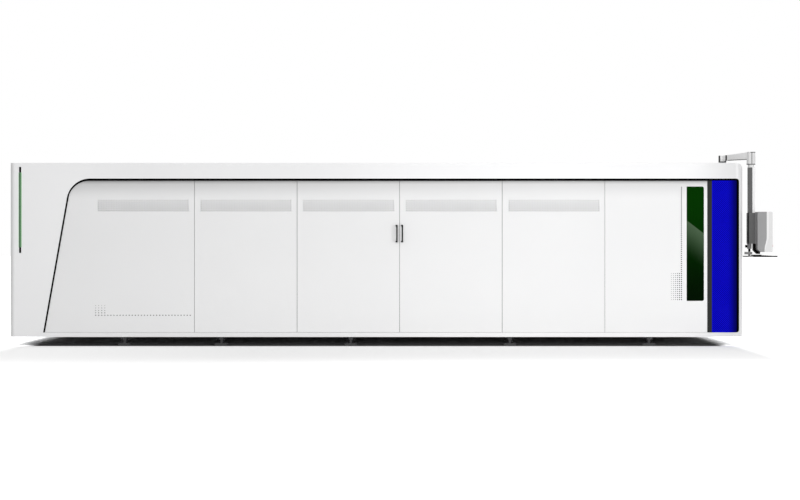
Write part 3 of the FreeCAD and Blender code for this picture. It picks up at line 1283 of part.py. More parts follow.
def bracket_side(radius):
    """Corners of one side of the bracket bar, bent round the control panel's lower rear edge."""
    x, z = HMI_BACK + HMI_BACK_RADIUS, HMI_BOTTOM + HMI_BACK_RADIUS
    reach = radius / math.cos(math.radians(22.5))
    corners = [(x - radius, BRACKET_BOX_BOTTOM, 0.0)]
    for turn in (202.5, 247.5):
        angle = math.radians(turn)
        corners.append((x + reach * math.cos(angle), z + reach * math.sin(angle), 0.0))
    return corners + [(x, z - radius, 0.0)]


def panel_bracket():
    """Bent bar from the bracket box's foot to the control panel's underside."""
    inner = bracket_side(HMI_BACK_RADIUS + FIT_GAP)
    outer = bracket_side(HMI_BACK_RADIUS + FIT_GAP + PANEL_BRACKET_BAR)
    y0, y1 = centred(ELBOW_Y, PANEL_BRACKET_WIDTH)
    return prism(inner + outer[::-1], sideways(y0), V(0, y1 - y0, 0))


def cable_cover():
    """Pale channel that closes the column's cable side."""
    left = COLLAR_LEFT + COLUMN_WIDTH
    y0, y1 = centred(ELBOW_Y, CABLE_COVER_DEPTH)
    cover = box(left, left + CABLE_COVER_WIDTH, y0, y1, BRACKET_BOX_TOP, COLUMN_TOP)
    wall = SHEET
    return cover.cut(box(left - 1, left + CABLE_COVER_WIDTH - wall, y0 + wall, y1 - wall,
                         BRACKET_BOX_TOP - 1, COLUMN_TOP - wall))


def hmi_housing():
    """Rear shell of the control panel and the plate that fixes it to the box."""
    y0, y1 = centred(ELBOW_Y, HMI_WIDTH)
    across = V(0, y1 - y0, 0)
    profile = [(HMI_BACK, HMI_BOTTOM, HMI_BACK_RADIUS), (BEZEL_BACK, HMI_BOTTOM, 0.0),
               (BEZEL_BACK, HMI_TOP, 0.0), (HMI_BACK, HMI_TOP, HMI_TOP_RADIUS)]
    chin = chin_profile()
    shell = prism(profile, sideways(y0), across).cut(prism(chin, sideways(y0), across))
    y0, y1 = centred(ELBOW_Y, BRACKET_BOX_DEPTH)
    plate = box(BOX_RIGHT, HMI_BACK, y0, y1, BRACKET_BOX_BOTTOM, BRACKET_BOX_TOP)
    return shell.fuse(plate).removeSplitter()


def chin_profile():
    """Side view (x, z) of the front bezel: thin at the screen, deeper at the chin."""
    chin_back = HMI_FRONT - CHIN_DEPTH
    chin_top = HMI_BOTTOM + CHIN_HEIGHT
    return [(chin_back, HMI_BOTTOM, HMI_TOP_RADIUS), (HMI_FRONT, HMI_BOTTOM, HMI_TOP_RADIUS),
            (HMI_FRONT, HMI_TOP, HMI_TOP_RADIUS), (BEZEL_BACK, HMI_TOP, 0.0),
            (BEZEL_BACK, chin_top, HMI_BACK_RADIUS)]


def screen_box(clearance):
    y0, y1 = centred(ELBOW_Y, HMI_WIDTH - 2 * SCREEN_MARGIN + 2 * clearance)
    top = HMI_TOP - SCREEN_MARGIN + clearance
    bottom = HMI_TOP - SCREEN_MARGIN - SCREEN_HEIGHT - clearance
    return box(HMI_FRONT - SCREEN_THICKNESS - clearance, HMI_FRONT, y0, y1, bottom, top)


def button_place(side):
    """Axis of a button on the chin: side -1 is the emergency stop, +1 the start."""
    return V(HMI_FRONT, ELBOW_Y + side * BUTTON_SPACING, BUTTON_HEIGHT)


def hmi_bezel():
    """Front frame of the control panel, with the screen's and the buttons' seats."""
    y0, y1 = centred(ELBOW_Y, HMI_WIDTH)
    bezel = prism(chin_profile(), sideways(y0), V(0, y1 - y0, 0)).cut(screen_box(FIT_GAP))
    depth = BUTTON_STEM_LENGTH + BUTTON_TRAVEL
    sockets = [button_stem(side, depth, 1.0, RAIL_PLAY) for side in (-1, 1)]
    return bezel.cut(sockets)


def button_stem(side, depth, reach, clearance):
    """Square plunger, or its socket: from a depth behind the face to a reach before it."""
    place = button_place(side)
    y0, y1 = centred(place.y, BUTTON_STEM_SIZE + 2 * clearance)
    z0, z1 = centred(place.z, BUTTON_STEM_SIZE + 2 * clearance)
    return box(place.x - depth, place.x + reach, y0, y1, z0, z1)


def emergency_stop():
    """Mushroom button on its plunger."""
    cap_back = BUTTON_PROUD - BUTTON_CAP
    place = button_place(-1)
    brim = prism(regular(place.y, place.z, BUTTON_RADIUS, BUTTON_SIDES),
                 endways(place.x + cap_back), V(BUTTON_BRIM, 0, 0))
    crown = prism(regular(place.y, place.z, BUTTON_CROWN_RADIUS, BUTTON_SIDES),
                  endways(place.x + cap_back + BUTTON_BRIM), V(BUTTON_CAP - BUTTON_BRIM, 0, 0))
    return brim.fuse([crown, button_stem(-1, BUTTON_STEM_LENGTH, cap_back, 0)])


def start_button():
    """Square key on its plunger."""
    place = button_place(1)
    cap_back = BUTTON_PROUD - BUTTON_CAP
    outline = chamfered(*centred(place.y, 2 * BUTTON_RADIUS), *centred(place.z, 2 * BUTTON_RADIUS),
                        BUTTON_RADIUS / 4)
    cap = prism(outline, endways(place.x + cap_back), V(BUTTON_CAP, 0, 0))
    return cap.fuse(button_stem(1, BUTTON_STEM_LENGTH, cap_back, 0))


def tray_clamp():
    """Collar under the box that grips the keyboard tray's post."""
    x0, x1 = centred(CLAMP_X, CLAMP_WIDTH)
    y0, y1 = centred(ELBOW_Y, CLAMP_DEPTH)
    outline = chamfered(x0, x1, y0, y1, CLAMP_EDGE)
    clamp = prism(outline, flat(CLAMP_BOTTOM), V(0, 0, CLAMP_HEIGHT))
    clamp = clamp.cut(tray_post_box(FIT_GAP, CLAMP_BOTTOM - 1, BRACKET_BOX_BOTTOM + 1))
    half = KNOB_STEM_RADIUS + FIT_GAP
    return clamp.cut(box(x0 - 1, x0 + KNOB_STEM_LENGTH, ELBOW_Y - half, ELBOW_Y + half,
                         KNOB_Z - half, KNOB_Z + half))


def clamp_knob():
    """Clamping knob with eight grips, on its screw."""
    face_x = CLAMP_X - CLAMP_WIDTH / 2 - FIT_GAP
    knob = prism(regular(ELBOW_Y, KNOB_Z, KNOB_RADIUS, KNOB_GRIPS), endways(face_x - KNOB_LENGTH),
                 V(KNOB_LENGTH, 0, 0))
    screw = prism(regular(ELBOW_Y, KNOB_Z, KNOB_STEM_RADIUS, 6), endways(face_x),
                  V(KNOB_STEM_LENGTH, 0, 0))
    return knob.fuse(screw)


def keyboard_tray():
    """Folded tray on a post that slides in the clamp."""
    x0, x1 = ELBOW_X - TRAY_REAR, ELBOW_X + TRAY_REACH
    y0, y1 = centred(ELBOW_Y, TRAY_WIDTH)
    floor = TRAY_TOP - TRAY_SHEET
    tray = box(x0, x1, y0, y1, floor, TRAY_TOP + TRAY_LIP)
    tray = tray.cut(box(x0 - 1, x1 - TRAY_SHEET, y0 + TRAY_SHEET, y1 - TRAY_SHEET,
                        TRAY_TOP, TRAY_TOP + TRAY_LIP + 1))
    x0, x1 = centred(CLAMP_X - TRAY_PLATE_BACK, TRAY_PLATE)
    y0, y1 = centred(ELBOW_Y, TRAY_PLATE)
    plate_bottom = TRAY_TOP + TRAY_PLATE_LIFT
    plate = box(x0, x1, y0, y1, plate_bottom, plate_bottom + TRAY_PLATE_HEIGHT)
    post = tray_post_box(0, TRAY_TOP, CLAMP_BOTTOM + TRAY_POST_HIDDEN)
    start = ELBOW_X + TRAY_BLOCK_START
    y0, y1 = centred(ELBOW_Y, TRAY_BLOCK_WIDTH)
    block = box(start, start + TRAY_BLOCK_LENGTH, y0, y1, TRAY_TOP, TRAY_TOP + TRAY_BLOCK_HEIGHT)
    return tray.fuse([plate, post, block]).removeSplitter()


def keyboard():
    """Low keyboard that lies on the tray."""
    start = ELBOW_X + KEYBOARD_FROM_AXIS
    y0, y1 = centred(ELBOW_Y, KEYBOARD_LENGTH)
    wedge = [(start, TRAY_TOP, 0.0), (start + KEYBOARD_DEPTH, TRAY_TOP, 0.0),
             (start + KEYBOARD_DEPTH, TRAY_TOP + KEYBOARD_FRONT_HEIGHT, 0.0),
             (start, TRAY_TOP + KEYBOARD_HEIGHT, 0.0)]
    return prism(wedge, sideways(y0), V(0, y1 - y0, 0))


# --- all pieces, by name -----------------------------------------------------------------------------
def machine_pieces():
    near_fascia = plain_fascia()
    slot = prism(light_slot(FIT_GAP), sideways(NEAR - 1), V(0, SHEET + 2, 0))
    trim = recess_trim()
    glass = side_window_glass()
    grille = grille_tray()
    strip = corner_strip()
    near_door_left = door_leaf(LEFT_DOOR_EDGE, DOOR_MEETING - PANEL_GAP / 2, LEFT_PIVOT_X)
    near_door_right = door_leaf(DOOR_MEETING + PANEL_GAP / 2, RIGHT_DOOR_EDGE, RIGHT_PIVOT_X)
    handle_left = bow_handle(DOOR_MEETING - HANDLE_FROM_EDGE)
    handle_right = bow_handle(DOOR_MEETING + HANDLE_FROM_EDGE)
    outlet = exhaust_block(EXHAUST_DUCT_HALF + EXHAUST_SHEET + EXHAUST_HOLE_GAP,
                           BED_OUTER, -NEAR)
    panels = {number: side_tray(panel_region(number)) for number in range(1, PANEL_COUNT + 1)}
    far_panels = {number: mirrored(panel) for number, panel in panels.items()}
    far_panels[EXHAUST_PANEL] = far_panels[EXHAUST_PANEL].cut(outlet)
    return {
        "base_frame": base_frame(),
        "levelling_feet": levelling_feet(),
        "enclosure_posts": enclosure_posts(),
        "roof_panels": roof_panels(),
        "near_fascia": near_fascia.cut(slot),
        "far_fascia": mirrored(near_fascia),
        "left_end_wall": left_end_wall(),
        "right_end_wall": right_end_wall(),
        "right_end_panels": end_panels(),
        "recess_trims": both_sides([trim]),
        "near_panels": [panels[number] for number in (1, 2, 5)],
        "near_window_panel": window_panel(),
        "window_glass": [glass, end_window_glass()],
        "corner_strips": both_sides([strip]),
        "corner_grilles": both_sides([grille]),
        "far_panels": list(far_panels.values()),
        "near_door_left": near_door_left,
        "near_door_right": near_door_right,
        "near_handle_left": handle_left,
        "near_handle_right": handle_right,
        "door_pivots": door_pivots(),
        "status_light_housing": light_housing(),
        "status_light_lens": lens_box(0),
        "lift_door": lift_door(),
        "lift_door_guides": lift_door_guides(),
        "machine_bed": machine_bed(),
        "x_guide_rails": guide_rails(),
        "x_gear_racks": gear_racks(),
        "pallet_frame": pallet_frame(),
        "support_slats": support_slats(),
        "scrap_bins": scrap_bins(),
        "scrap_chutes": scrap_chutes(),
        "exhaust_duct": exhaust_duct(),
        "gantry_trucks": gantry_trucks(),
        "gantry_beam": gantry_beam(),
        "y_guide_rails": cross_rails(),
        "x_drive_motors": drive_motors(),
        "x_pinion_near": pinion(-1),
        "x_pinion_far": pinion(1),
        "y_carriage": carriage(),
        "z_slide": head_slide(),
        "cutting_head": cutting_head(),
        "pendant_base": pendant_base(),
        "pendant_arm": pendant_arm(),
        "pendant_column": pendant_column(),
        "cable_cover": cable_cover(),
        "hmi_housing": hmi_housing(),
        "hmi_bezel": hmi_bezel(),
        "panel_bracket": panel_bracket(),
        "hmi_screen": screen_box(0),
        "emergency_stop": emergency_stop(),
        "start_button": start_button(),
        "tray_clamp": tray_clamp(),
        "clamp_knob": clamp_knob(),
        "keyboard_tray": keyboard_tray(),
        "keyboard": keyboard(),
    }


def save(name, shapes):
    """Write one piece, or a group of like pieces, as a STEP file."""
    group = shapes if isinstance(shapes, list) else [shapes]
    solids = [solid for shape in group for solid in shape.Solids]
    for solid in solids:
        solid.translate(ORIGIN_SHIFT)
    result = solids[0] if len(solids) == 1 else Part.makeCompound(solids)
    result.exportStep("parts/" + name + ".step")


os.makedirs("parts", exist_ok=True)
for piece_name, piece_shapes in machine_pieces().items():
    save(piece_name, piece_shapes)
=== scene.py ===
import bpy
import math
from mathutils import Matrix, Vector


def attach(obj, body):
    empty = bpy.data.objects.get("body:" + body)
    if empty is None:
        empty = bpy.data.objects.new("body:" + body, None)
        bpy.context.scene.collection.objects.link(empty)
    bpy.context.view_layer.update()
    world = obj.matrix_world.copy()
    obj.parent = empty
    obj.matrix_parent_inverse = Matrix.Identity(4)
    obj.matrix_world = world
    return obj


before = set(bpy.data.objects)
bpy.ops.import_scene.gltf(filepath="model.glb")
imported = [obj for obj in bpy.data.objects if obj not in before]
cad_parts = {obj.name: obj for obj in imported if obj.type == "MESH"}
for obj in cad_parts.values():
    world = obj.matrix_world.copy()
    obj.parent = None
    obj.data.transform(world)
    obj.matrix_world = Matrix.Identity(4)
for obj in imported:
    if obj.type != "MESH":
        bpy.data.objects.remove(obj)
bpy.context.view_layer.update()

# Places in the row frame, in metres. The near side, towards -Y, is the photographed one.
PANEL_FACE = 1.630                               # outer face of the side panels, either side
RECESS_FOOT, RECESS_HEAD = 0.1775, 2.2267        # heights of the recess
RECESS_EDGE_X, RECESS_LEAN = -4.7536, 0.1763     # its slanted edge: X at the floor, lean per metre
GRILLE_LEFT, GRILLE_RIGHT = 4.2968, 4.6312       # perforated corner panel
WINDOW_LEFT = 3.9535
LIGHT_X = -5.0465                                # middle of the status light
BODY_MIDDLE_X = -0.2335                          # middle of the body without the control panel
ARM_AXIS_X, HUB_RIGHT, ARM_UNDERSIDE = 4.5425, 4.594, 2.521
ELBOW_LEFT, ELBOW_SPLIT_X, ELBOW_FOOT = 4.8045, 4.864, 2.460
BOX_FOOT, BOX_HEAD = 1.37, 1.795                 # bracket box behind the control panel

# --- node trees ---------------------------------------------------------------------------
# Sockets of a Mix node go by number, because its float and colour sockets share their names.
MIX_FACTOR = 0
FLOAT_A, FLOAT_B, FLOAT_OUT = 2, 3, 0
COLOUR_A, COLOUR_B, COLOUR_OUT = 6, 7, 2
NOISE_LOW, NOISE_HIGH = 0.3, 0.7                 # most of a noise's values lie between these
CLOUD_DETAIL, GRAIN_DETAIL = 3.0, 2.0


def grey(level):
    return (level, level, level)


class Tree:
    """Node tree of a material or of the world, with the steps that its colours are made of."""

    def __init__(self, tree, output, place="Object"):
        self.nodes, self.links = tree.nodes, tree.links
        self.nodes.clear()
        self.out = self.nodes.new(output)
        self.place = self.nodes.new("ShaderNodeTexCoord").outputs[place]
        split = self.nodes.new("ShaderNodeSeparateXYZ")
        self.links.new(self.place, split.inputs[0])
        self.x, self.y, self.z = split.outputs

    def give(self, socket, value):
        """Set a socket to a number, a colour or what another node puts out."""
        if isinstance(value, (int, float)):
            socket.default_value = value
        elif isinstance(value, tuple):
            socket.default_value = (*value, 1.0)
        else:
            self.links.new(value, socket)

    def fade(self, value, ramp):
        """Smooth change along a ramp of (low, high, number at low, number at high)."""
        low, high, at_low, at_high = ramp
        node = self.nodes.new("ShaderNodeMapRange")
        node.interpolation_type = "SMOOTHSTEP"
        node.inputs["From Min"].default_value = low
        node.inputs["From Max"].default_value = high
        node.inputs["To Min"].default_value = at_low
        node.inputs["To Max"].default_value = at_high
        self.links.new(value, node.inputs["Value"])
        return node.outputs["Result"]

    def maths(self, operation, *values):
        node = self.nodes.new("ShaderNodeMath")
        node.operation = operation
        for socket, value in zip(node.inputs, values):
            self.give(socket, value)
        return node.outputs[0]

    def times(self, a, b):
        return self.maths("MULTIPLY", a, b)

    def blend(self, factor, a, b):
        """Colour between a and b."""
        node = self.nodes.new("ShaderNodeMix")
        node.data_type = "RGBA"
        self.give(node.inputs[MIX_FACTOR], factor)
        self.give(node.inputs[COLOUR_A], a)
        self.give(node.inputs[COLOUR_B], b)
        return node.outputs[COLOUR_OUT]

    def noise(self, scale, detail=CLOUD_DETAIL, stretch=None):
        node = self.nodes.new("ShaderNodeTexNoise")
        node.inputs["Scale"].default_value = scale
        node.inputs["Detail"].default_value = detail
        vector = self.place
        if stretch:
            mapping = self.nodes.new("ShaderNodeMapping")
            mapping.inputs["Scale"].default_value = stretch
            self.links.new(vector, mapping.inputs["Vector"])
            vector = mapping.outputs["Vector"]
        self.links.new(vector, node.inputs["Vector"])
        return node.outputs["Fac"]

    def seen_by(self, *rays):
        """1 for rays of the named kinds and 0 for all others."""
        path = self.nodes.new("ShaderNodeLightPath")
        seen = path.outputs[rays[0]]
        for ray in rays[1:]:
            seen = self.maths("MAXIMUM", seen, path.outputs[ray])
        return seen


class Paint(Tree):
    """Material with one Principled shader."""

    def __init__(self, name):
        self.material = bpy.data.materials.new(name)
        self.material.use_nodes = True
        super().__init__(self.material.node_tree, "ShaderNodeOutputMaterial")
        self.shader = self.nodes.new("ShaderNodeBsdfPrincipled")
        self.links.new(self.shader.outputs["BSDF"], self.out.inputs["Surface"])

    def set(self, name, value):
        self.give(self.shader.inputs[name], value)

    def grain(self, smooth, dull, strength, depth=0.0003, scale=180.0, stretch=None):
        """Fine unevenness: roughness between smooth and dull, and a faint relief."""
        fine = self.noise(scale, GRAIN_DETAIL, stretch)
        self.set("Roughness", self.fade(fine, (NOISE_LOW, NOISE_HIGH, smooth, dull)))
        relief = self.nodes.new("ShaderNodeBump")
        relief.inputs["Strength"].default_value = strength
        relief.inputs["Distance"].default_value = depth
        self.links.new(fine, relief.inputs["Height"])
        self.set("Normal", relief.outputs["Normal"])


# --- paints -------------------------------------------------------------------------------
ROUGH_SPREAD = 0.08                              # share that a roughness varies up and down

# Ramps over X or Z in metres, as fade takes them.
# Painted shade on the panels: a faint darkening upwards, a wide band that weakens to the right, a
# narrow band, and a painted shadow under the cover's lip.
PANEL_UPPER_SHADE, PANEL_LIP_SHADOW = (0.5, 1.7, 0.0, 0.035), (2.213, 2.223, 0.0, 0.75)
PANEL_WIDE_SHADE, PANEL_NARROW_SHADE = (1.96, 2.24, 0.0, 0.36), (2.17, 2.225, 0.0, 0.42)
PANEL_SHADE_ALONG = (-4.0, 2.5, 1.0, 0.62)
BEAD_EDGE = (0.0065, 0.0085, 1.0, 0.0)           # over the distance from the recess's edge
BODY_RIGHT_SHADE, BODY_LEFT_SHADE = (3.9, 4.72, 0.0, 1.0), (-5.18, -5.13, 0.45, 0.0)
BODY_SHADE_RISE, BODY_SHADE_FALL = (-4.7, -3.2, 0.0, 0.12), (-1.5, 0.6, 1.0, 0.0)
GRILLE_SHADE_TURN = (4.50, 4.63, 0.0, 1.0)
GLASS_LIGHT_RISE = (0.6, 2.1, 0.0, 1.0)
SHELL_HIGHLIGHT_EDGE = (1.29, 1.47, 5.007, 5.036)           # X of the painted highlight's start, over Z

# The window's sheen, a painted reflection, falls by SHEEN_LEAN per metre from SHEEN_TOP at the
# window's left; its ramps run over the distance below that line, and over a noise.
SHEEN_LEAN, SHEEN_TOP = 0.77, 1.697
SHEEN_START, SHEEN_END = (0.0, 0.012, 0.0, 1.0), (-0.1, 0.50, 1.0, 0.0)
SHEEN_STREAKS = (0.2, 0.8, 0.85, 1.0)


def surface(name, colour, rough, metallic=0.0, vary=0.04, scale=2.5, relief=0.05,
            stretch=None, coat=0.0, gloss=0.5):
    """Painted, moulded or machined surface with a slight unevenness and grain."""
    paint = Paint(name)
    dark = tuple(c * (1 - vary) for c in colour)
    light = tuple(min(1.0, c * (1 + vary)) for c in colour)
    paint.set("Base Color", paint.blend(paint.noise(scale), dark, light))
    paint.set("Metallic", metallic)
    paint.set("Coat Weight", coat)
    paint.set("Specular IOR Level", gloss)
    paint.grain(rough * (1 - ROUGH_SPREAD), rough * (1 + ROUGH_SPREAD), relief, 0.0004,
                stretch=stretch)
    return paint.material


def panel_paint():
    """White powder coat of the recessed panels, with painted shade under the recess's upper edge.
    """
    paint = Paint("panel_white")
    colour = paint.blend(paint.noise(0.8), (0.785, 0.785, 0.79), grey(0.82))
    upper = paint.fade(paint.z, PANEL_UPPER_SHADE)
    wide_shade = paint.times(paint.fade(paint.z, PANEL_WIDE_SHADE), paint.fade(paint.x, PANEL_SHADE_ALONG))
    narrow_shade = paint.fade(paint.z, PANEL_NARROW_SHADE)
    # Painted shade, then the lip's painted shadow, towards the recess's upper edge.
    for share in (upper, wide_shade, narrow_shade):
        colour = paint.blend(share, colour, grey(0.10))
    colour = paint.blend(paint.fade(paint.z, PANEL_LIP_SHADOW), colour, grey(0.01))
    # A thin black bead follows the recess's slanted edge.
    edge = paint.maths("MULTIPLY_ADD", paint.z, -RECESS_LEAN, -RECESS_EDGE_X)
    bead = paint.fade(paint.maths("ADD", edge, paint.x), BEAD_EDGE)
    paint.set("Base Color", paint.blend(bead, colour, grey(0.001)))
    paint.grain(0.38, 0.46, 0.04, scale=160.0)
    return paint.material


def body_paint():
    """White powder coat of the covers, with painted shade towards both ends and faintly left of
    the middle.
    """
    paint = Paint("body_white")
    colour = paint.blend(paint.noise(0.7), (0.825, 0.825, 0.83), (0.855, 0.855, 0.86))
    # Painted shade: darker towards the rounded right end, at the left end's corner, and faintly
    # left of the middle.
    colour = paint.blend(paint.fade(paint.x, BODY_RIGHT_SHADE), colour, (0.66, 0.66, 0.665))
    left = paint.fade(paint.x, BODY_LEFT_SHADE)
    inward_shade = paint.times(paint.fade(paint.x, BODY_SHADE_RISE), paint.fade(paint.x, BODY_SHADE_FALL))
    for share in (left, inward_shade):
        colour = paint.blend(share, colour, grey(0.40))
    paint.set("Base Color", colour)
    paint.grain(0.31, 0.37, 0.03, 0.0004)
    return paint.material


def grille_paint():
    """Blue gloss coat of the corner panel, with painted shade deepening towards its rounded end.
    """
    paint = Paint("grille_blue")
    base = paint.blend(paint.noise(3.0), (0.0, 0.0, 0.52), (0.003, 0.003, 0.60))
    # Painted shade deepening where the panel turns round the corner.
    deep = (0.0, 0.0, 0.11)
    paint.set("Base Color", paint.blend(paint.fade(paint.x, GRILLE_SHADE_TURN), base, deep))
    paint.set("Specular IOR Level", 0.02)
    paint.grain(0.42, 0.5, 0.03, scale=200.0)
    return paint.material


def window_glass():
    """Dark green filter glass, painted brighter towards the top, with a slanting pale sheen that
    is a painted reflection.
    """
    paint = Paint("filter_glass")
    foot_green, head_green, sheen_green = (
        (0.0004, 0.0052, 0.0002), (0.0012, 0.029, 0.0003), (0.070, 0.115, 0.065))
    # Painted light: the green is brighter towards the top.
    base = paint.blend(paint.fade(paint.z, GLASS_LIGHT_RISE), foot_green, head_green)
    # Painted reflection: the pale sheen below a slanting line.
    edge = paint.maths("MULTIPLY_ADD", paint.x, -SHEEN_LEAN, SHEEN_TOP + SHEEN_LEAN * WINDOW_LEFT)
    below = paint.maths("SUBTRACT", edge, paint.z)
    sheen = paint.times(paint.fade(below, SHEEN_START), paint.fade(below, SHEEN_END))
    sheen = paint.times(sheen, paint.fade(paint.noise(4.0), SHEEN_STREAKS))
    paint.set("Base Color", paint.blend(sheen, base, sheen_green))
    paint.set("Roughness", 0.08)
    paint.set("Specular IOR Level", 0.01)
    return paint.material


def zoned_paint(name, level, rough, gloss=0.3, zones=()):
    """Grey paint with another grey in each zone: (grey level, (axis, low, high), ...)."""
    paint = Paint(name)
    place = {"X": paint.x, "Z": paint.z}
    colour = paint.blend(paint.noise(4.0), grey(level * 0.96), grey(level))
    for zone_level, *ranges in zones:
        inside = None
        for axis, low, high in ranges:
            within = paint.times(paint.maths("GREATER_THAN", place[axis], low),
                                 paint.maths("LESS_THAN", place[axis], high))
            inside = within if inside is None else paint.times(inside, within)
        colour = paint.blend(inside, colour, grey(zone_level))
    paint.set("Base Color", colour)
    paint.set("Specular IOR Level", gloss)
    paint.grain(rough * (1 - ROUGH_SPREAD), rough * (1 + ROUGH_SPREAD), 0.04)
    return paint.material


def shell_paint():
    """Grey rear shell of the control panel; a painted highlight along its front edge widens
    towards the foot.
    """
    paint = Paint("shell_grey")
    base = paint.blend(paint.noise(4.0), (0.288, 0.288, 0.29), (0.30, 0.30, 0.303))
    # Painted highlight: pale in front of the ramp's X.
    highlit_front = paint.maths("GREATER_THAN", paint.x, paint.fade(paint.z, SHELL_HIGHLIGHT_EDGE))
    paint.set("Base Color", paint.blend(highlit_front, base, grey(0.74)))
    paint.set("Specular IOR Level", 0.15)
    paint.grain(0.41, 0.49, 0.04)
    return paint.material


def glowing(name, colour, strength):
    paint = Paint(name)
    dim = tuple(c * 0.85 for c in colour)
    hue = paint.blend(paint.noise(12.0), dim, colour)
    paint.set("Base Color", hue)
    paint.set("Emission Color", hue)
    paint.set("Emission Strength", strength)
    paint.set("Roughness", 0.3)
    return paint.material


WHITE = body_paint()
PANEL = panel_paint()
BLUE = grille_paint()
GLASS = window_glass()
SHELL = shell_paint()
BLACK_TRIM = surface("trim_black", grey(0.0004), 0.5, relief=0.04, gloss=0.005)
STRIP = surface("strip_dark", (0.030, 0.031, 0.031), 0.5, gloss=0.03)
POSTS = surface("post_grey", (0.03, 0.031, 0.033), 0.6, vary=0.1, relief=0.12)
FRAME = surface("frame_grey", (0.16, 0.165, 0.175), 0.6, vary=0.1, relief=0.12)
BED = surface("bed_grey", (0.20, 0.21, 0.22), 0.6, vary=0.1, scale=1.5, relief=0.15)
GREY = surface("grey_paint", (0.45, 0.46, 0.47), 0.42)
RAW = surface("raw_steel", (0.32, 0.31, 0.30), 0.55, 0.9, vary=0.2, scale=6.0, relief=0.2,
              stretch=(1.0, 1.0, 12.0))
HARD = surface("hard_steel", (0.55, 0.56, 0.57), 0.3, 1.0, relief=0.1, stretch=(1.0, 20.0, 20.0))
ZINC = surface("zinc_steel", (0.50, 0.51, 0.52), 0.45, 0.9, vary=0.12, scale=14.0, relief=0.1)
ALU = surface("aluminium", (0.62, 0.63, 0.64), 0.38, 1.0, relief=0.1, stretch=(1.0, 14.0, 1.0))
DARK = surface("dark_paint", (0.022, 0.022, 0.024), 0.5)
BLACK = surface("black_plastic", grey(0.0015), 0.5, relief=0.12, gloss=0.02)
PALE = surface("pale_plastic", (0.755, 0.755, 0.76), 0.4, vary=0.02)
CLAMP = surface("clamp_grey", (0.25, 0.25, 0.252), 0.5, gloss=0.2)
RED = surface("stop_red", (0.55, 0.01, 0.01), 0.3, coat=0.3)
GREEN = surface("start_green", (0.01, 0.30, 0.05), 0.3, coat=0.3)
SCREEN = surface("screen_glass", (0.010, 0.014, 0.022), 0.12, vary=0.3, scale=5.0, relief=0.0)
# Painted shade: the dark of the vent holes and the navy of the perforations stand in for the shade
# behind the openings.
HOLE = surface("hole_dark", grey(0.012), 0.7, gloss=0.1)
NAVY = surface("hole_navy", (0.0, 0.0, 0.04), 0.6, gloss=0.02)
PRINT = surface("print_grey", (0.02, 0.02, 0.021), 0.6, gloss=0.1)
RUBBER = surface("seal_rubber", (0.02, 0.02, 0.021), 0.7, gloss=0.05)
LENS = glowing("green_lens", (0.02, 0.075, 0.03), 0.1)
GLOW = glowing("light_core", (0.13, 0.40, 0.14), 0.22)
# Painted light: the pale-green glow of the rims stands in for the status light's glow on the
# fascia round it.
SPILL_GLOW = glowing("light_spill_rim", (0.42, 0.66, 0.43), 0.1)
BEZEL = zoned_paint("bezel_pale", 0.675, 0.4)
# Just past the arm and its elbow on every side.
ARM_LEFT, ARM_RIGHT, ARM_FOOT, ARM_HEAD = 4.40, 4.95, 2.40, 2.70
COLUMN = zoned_paint("column_grey", 0.115, 0.45, 0.1, (
    (0.72, ("Z", 2.412, 2.60)),                                      # spigot and its collar
    (0.155, ("Z", BOX_FOOT, BOX_HEAD)),                              # bracket box, painted lighter than the column as painted light, making up for the shade it lies in
    (0.003, ("X", 4.80, 4.8225), ("Z", BOX_FOOT, BOX_HEAD)),         # the box's dark left strip
))
# Painted light: the arm's pale is raised above its paint's level to make up for the shade its face
# lies in.
ARM = zoned_paint("arm_pale", 0.95, 0.42, zones=(
    # the elbow, painted darker than the arm as painted shade, then the hub's left edge in painted
    # shade and the line between hub and arm
    (0.62, ("X", ELBOW_LEFT, ARM_RIGHT), ("Z", ELBOW_FOOT, ARM_HEAD)),
    (0.02, ("X", ARM_LEFT, ARM_AXIS_X - 0.037)),
    (0.03, ("X", ARM_AXIS_X + 0.026, ARM_AXIS_X + 0.044)),
    # the undersides of hub and arm, in painted shade
    (0.04, ("X", ARM_LEFT, HUB_RIGHT), ("Z", ARM_FOOT, 2.512)),
    (0.03, ("X", HUB_RIGHT, ELBOW_LEFT), ("Z", ARM_FOOT, ARM_UNDERSIDE + 0.007)),
    # the elbow's split, the edge of its top and its lower rim
    (0.10, ("X", ELBOW_SPLIT_X - 0.006, ELBOW_SPLIT_X + 0.004), ("Z", ARM_FOOT, ARM_HEAD)),
    (0.06, ("X", ELBOW_SPLIT_X - 0.02, ARM_RIGHT), ("Z", 2.612, ARM_HEAD)),
    (0.05, ("X", 4.78, ARM_RIGHT), ("Z", ARM_FOOT, ELBOW_FOOT)),
))
TRAY = zoned_paint("tray_black", 0.006, 0.5, 0.08, (
    (0.28, ("X", 4.7, 4.8715), ("Z", 1.22, 1.27)),                   # block at the post's foot
    (0.28, ("X", 4.7, 4.855), ("Z", 1.18, 1.215)),                   # the tray's rear strip
))

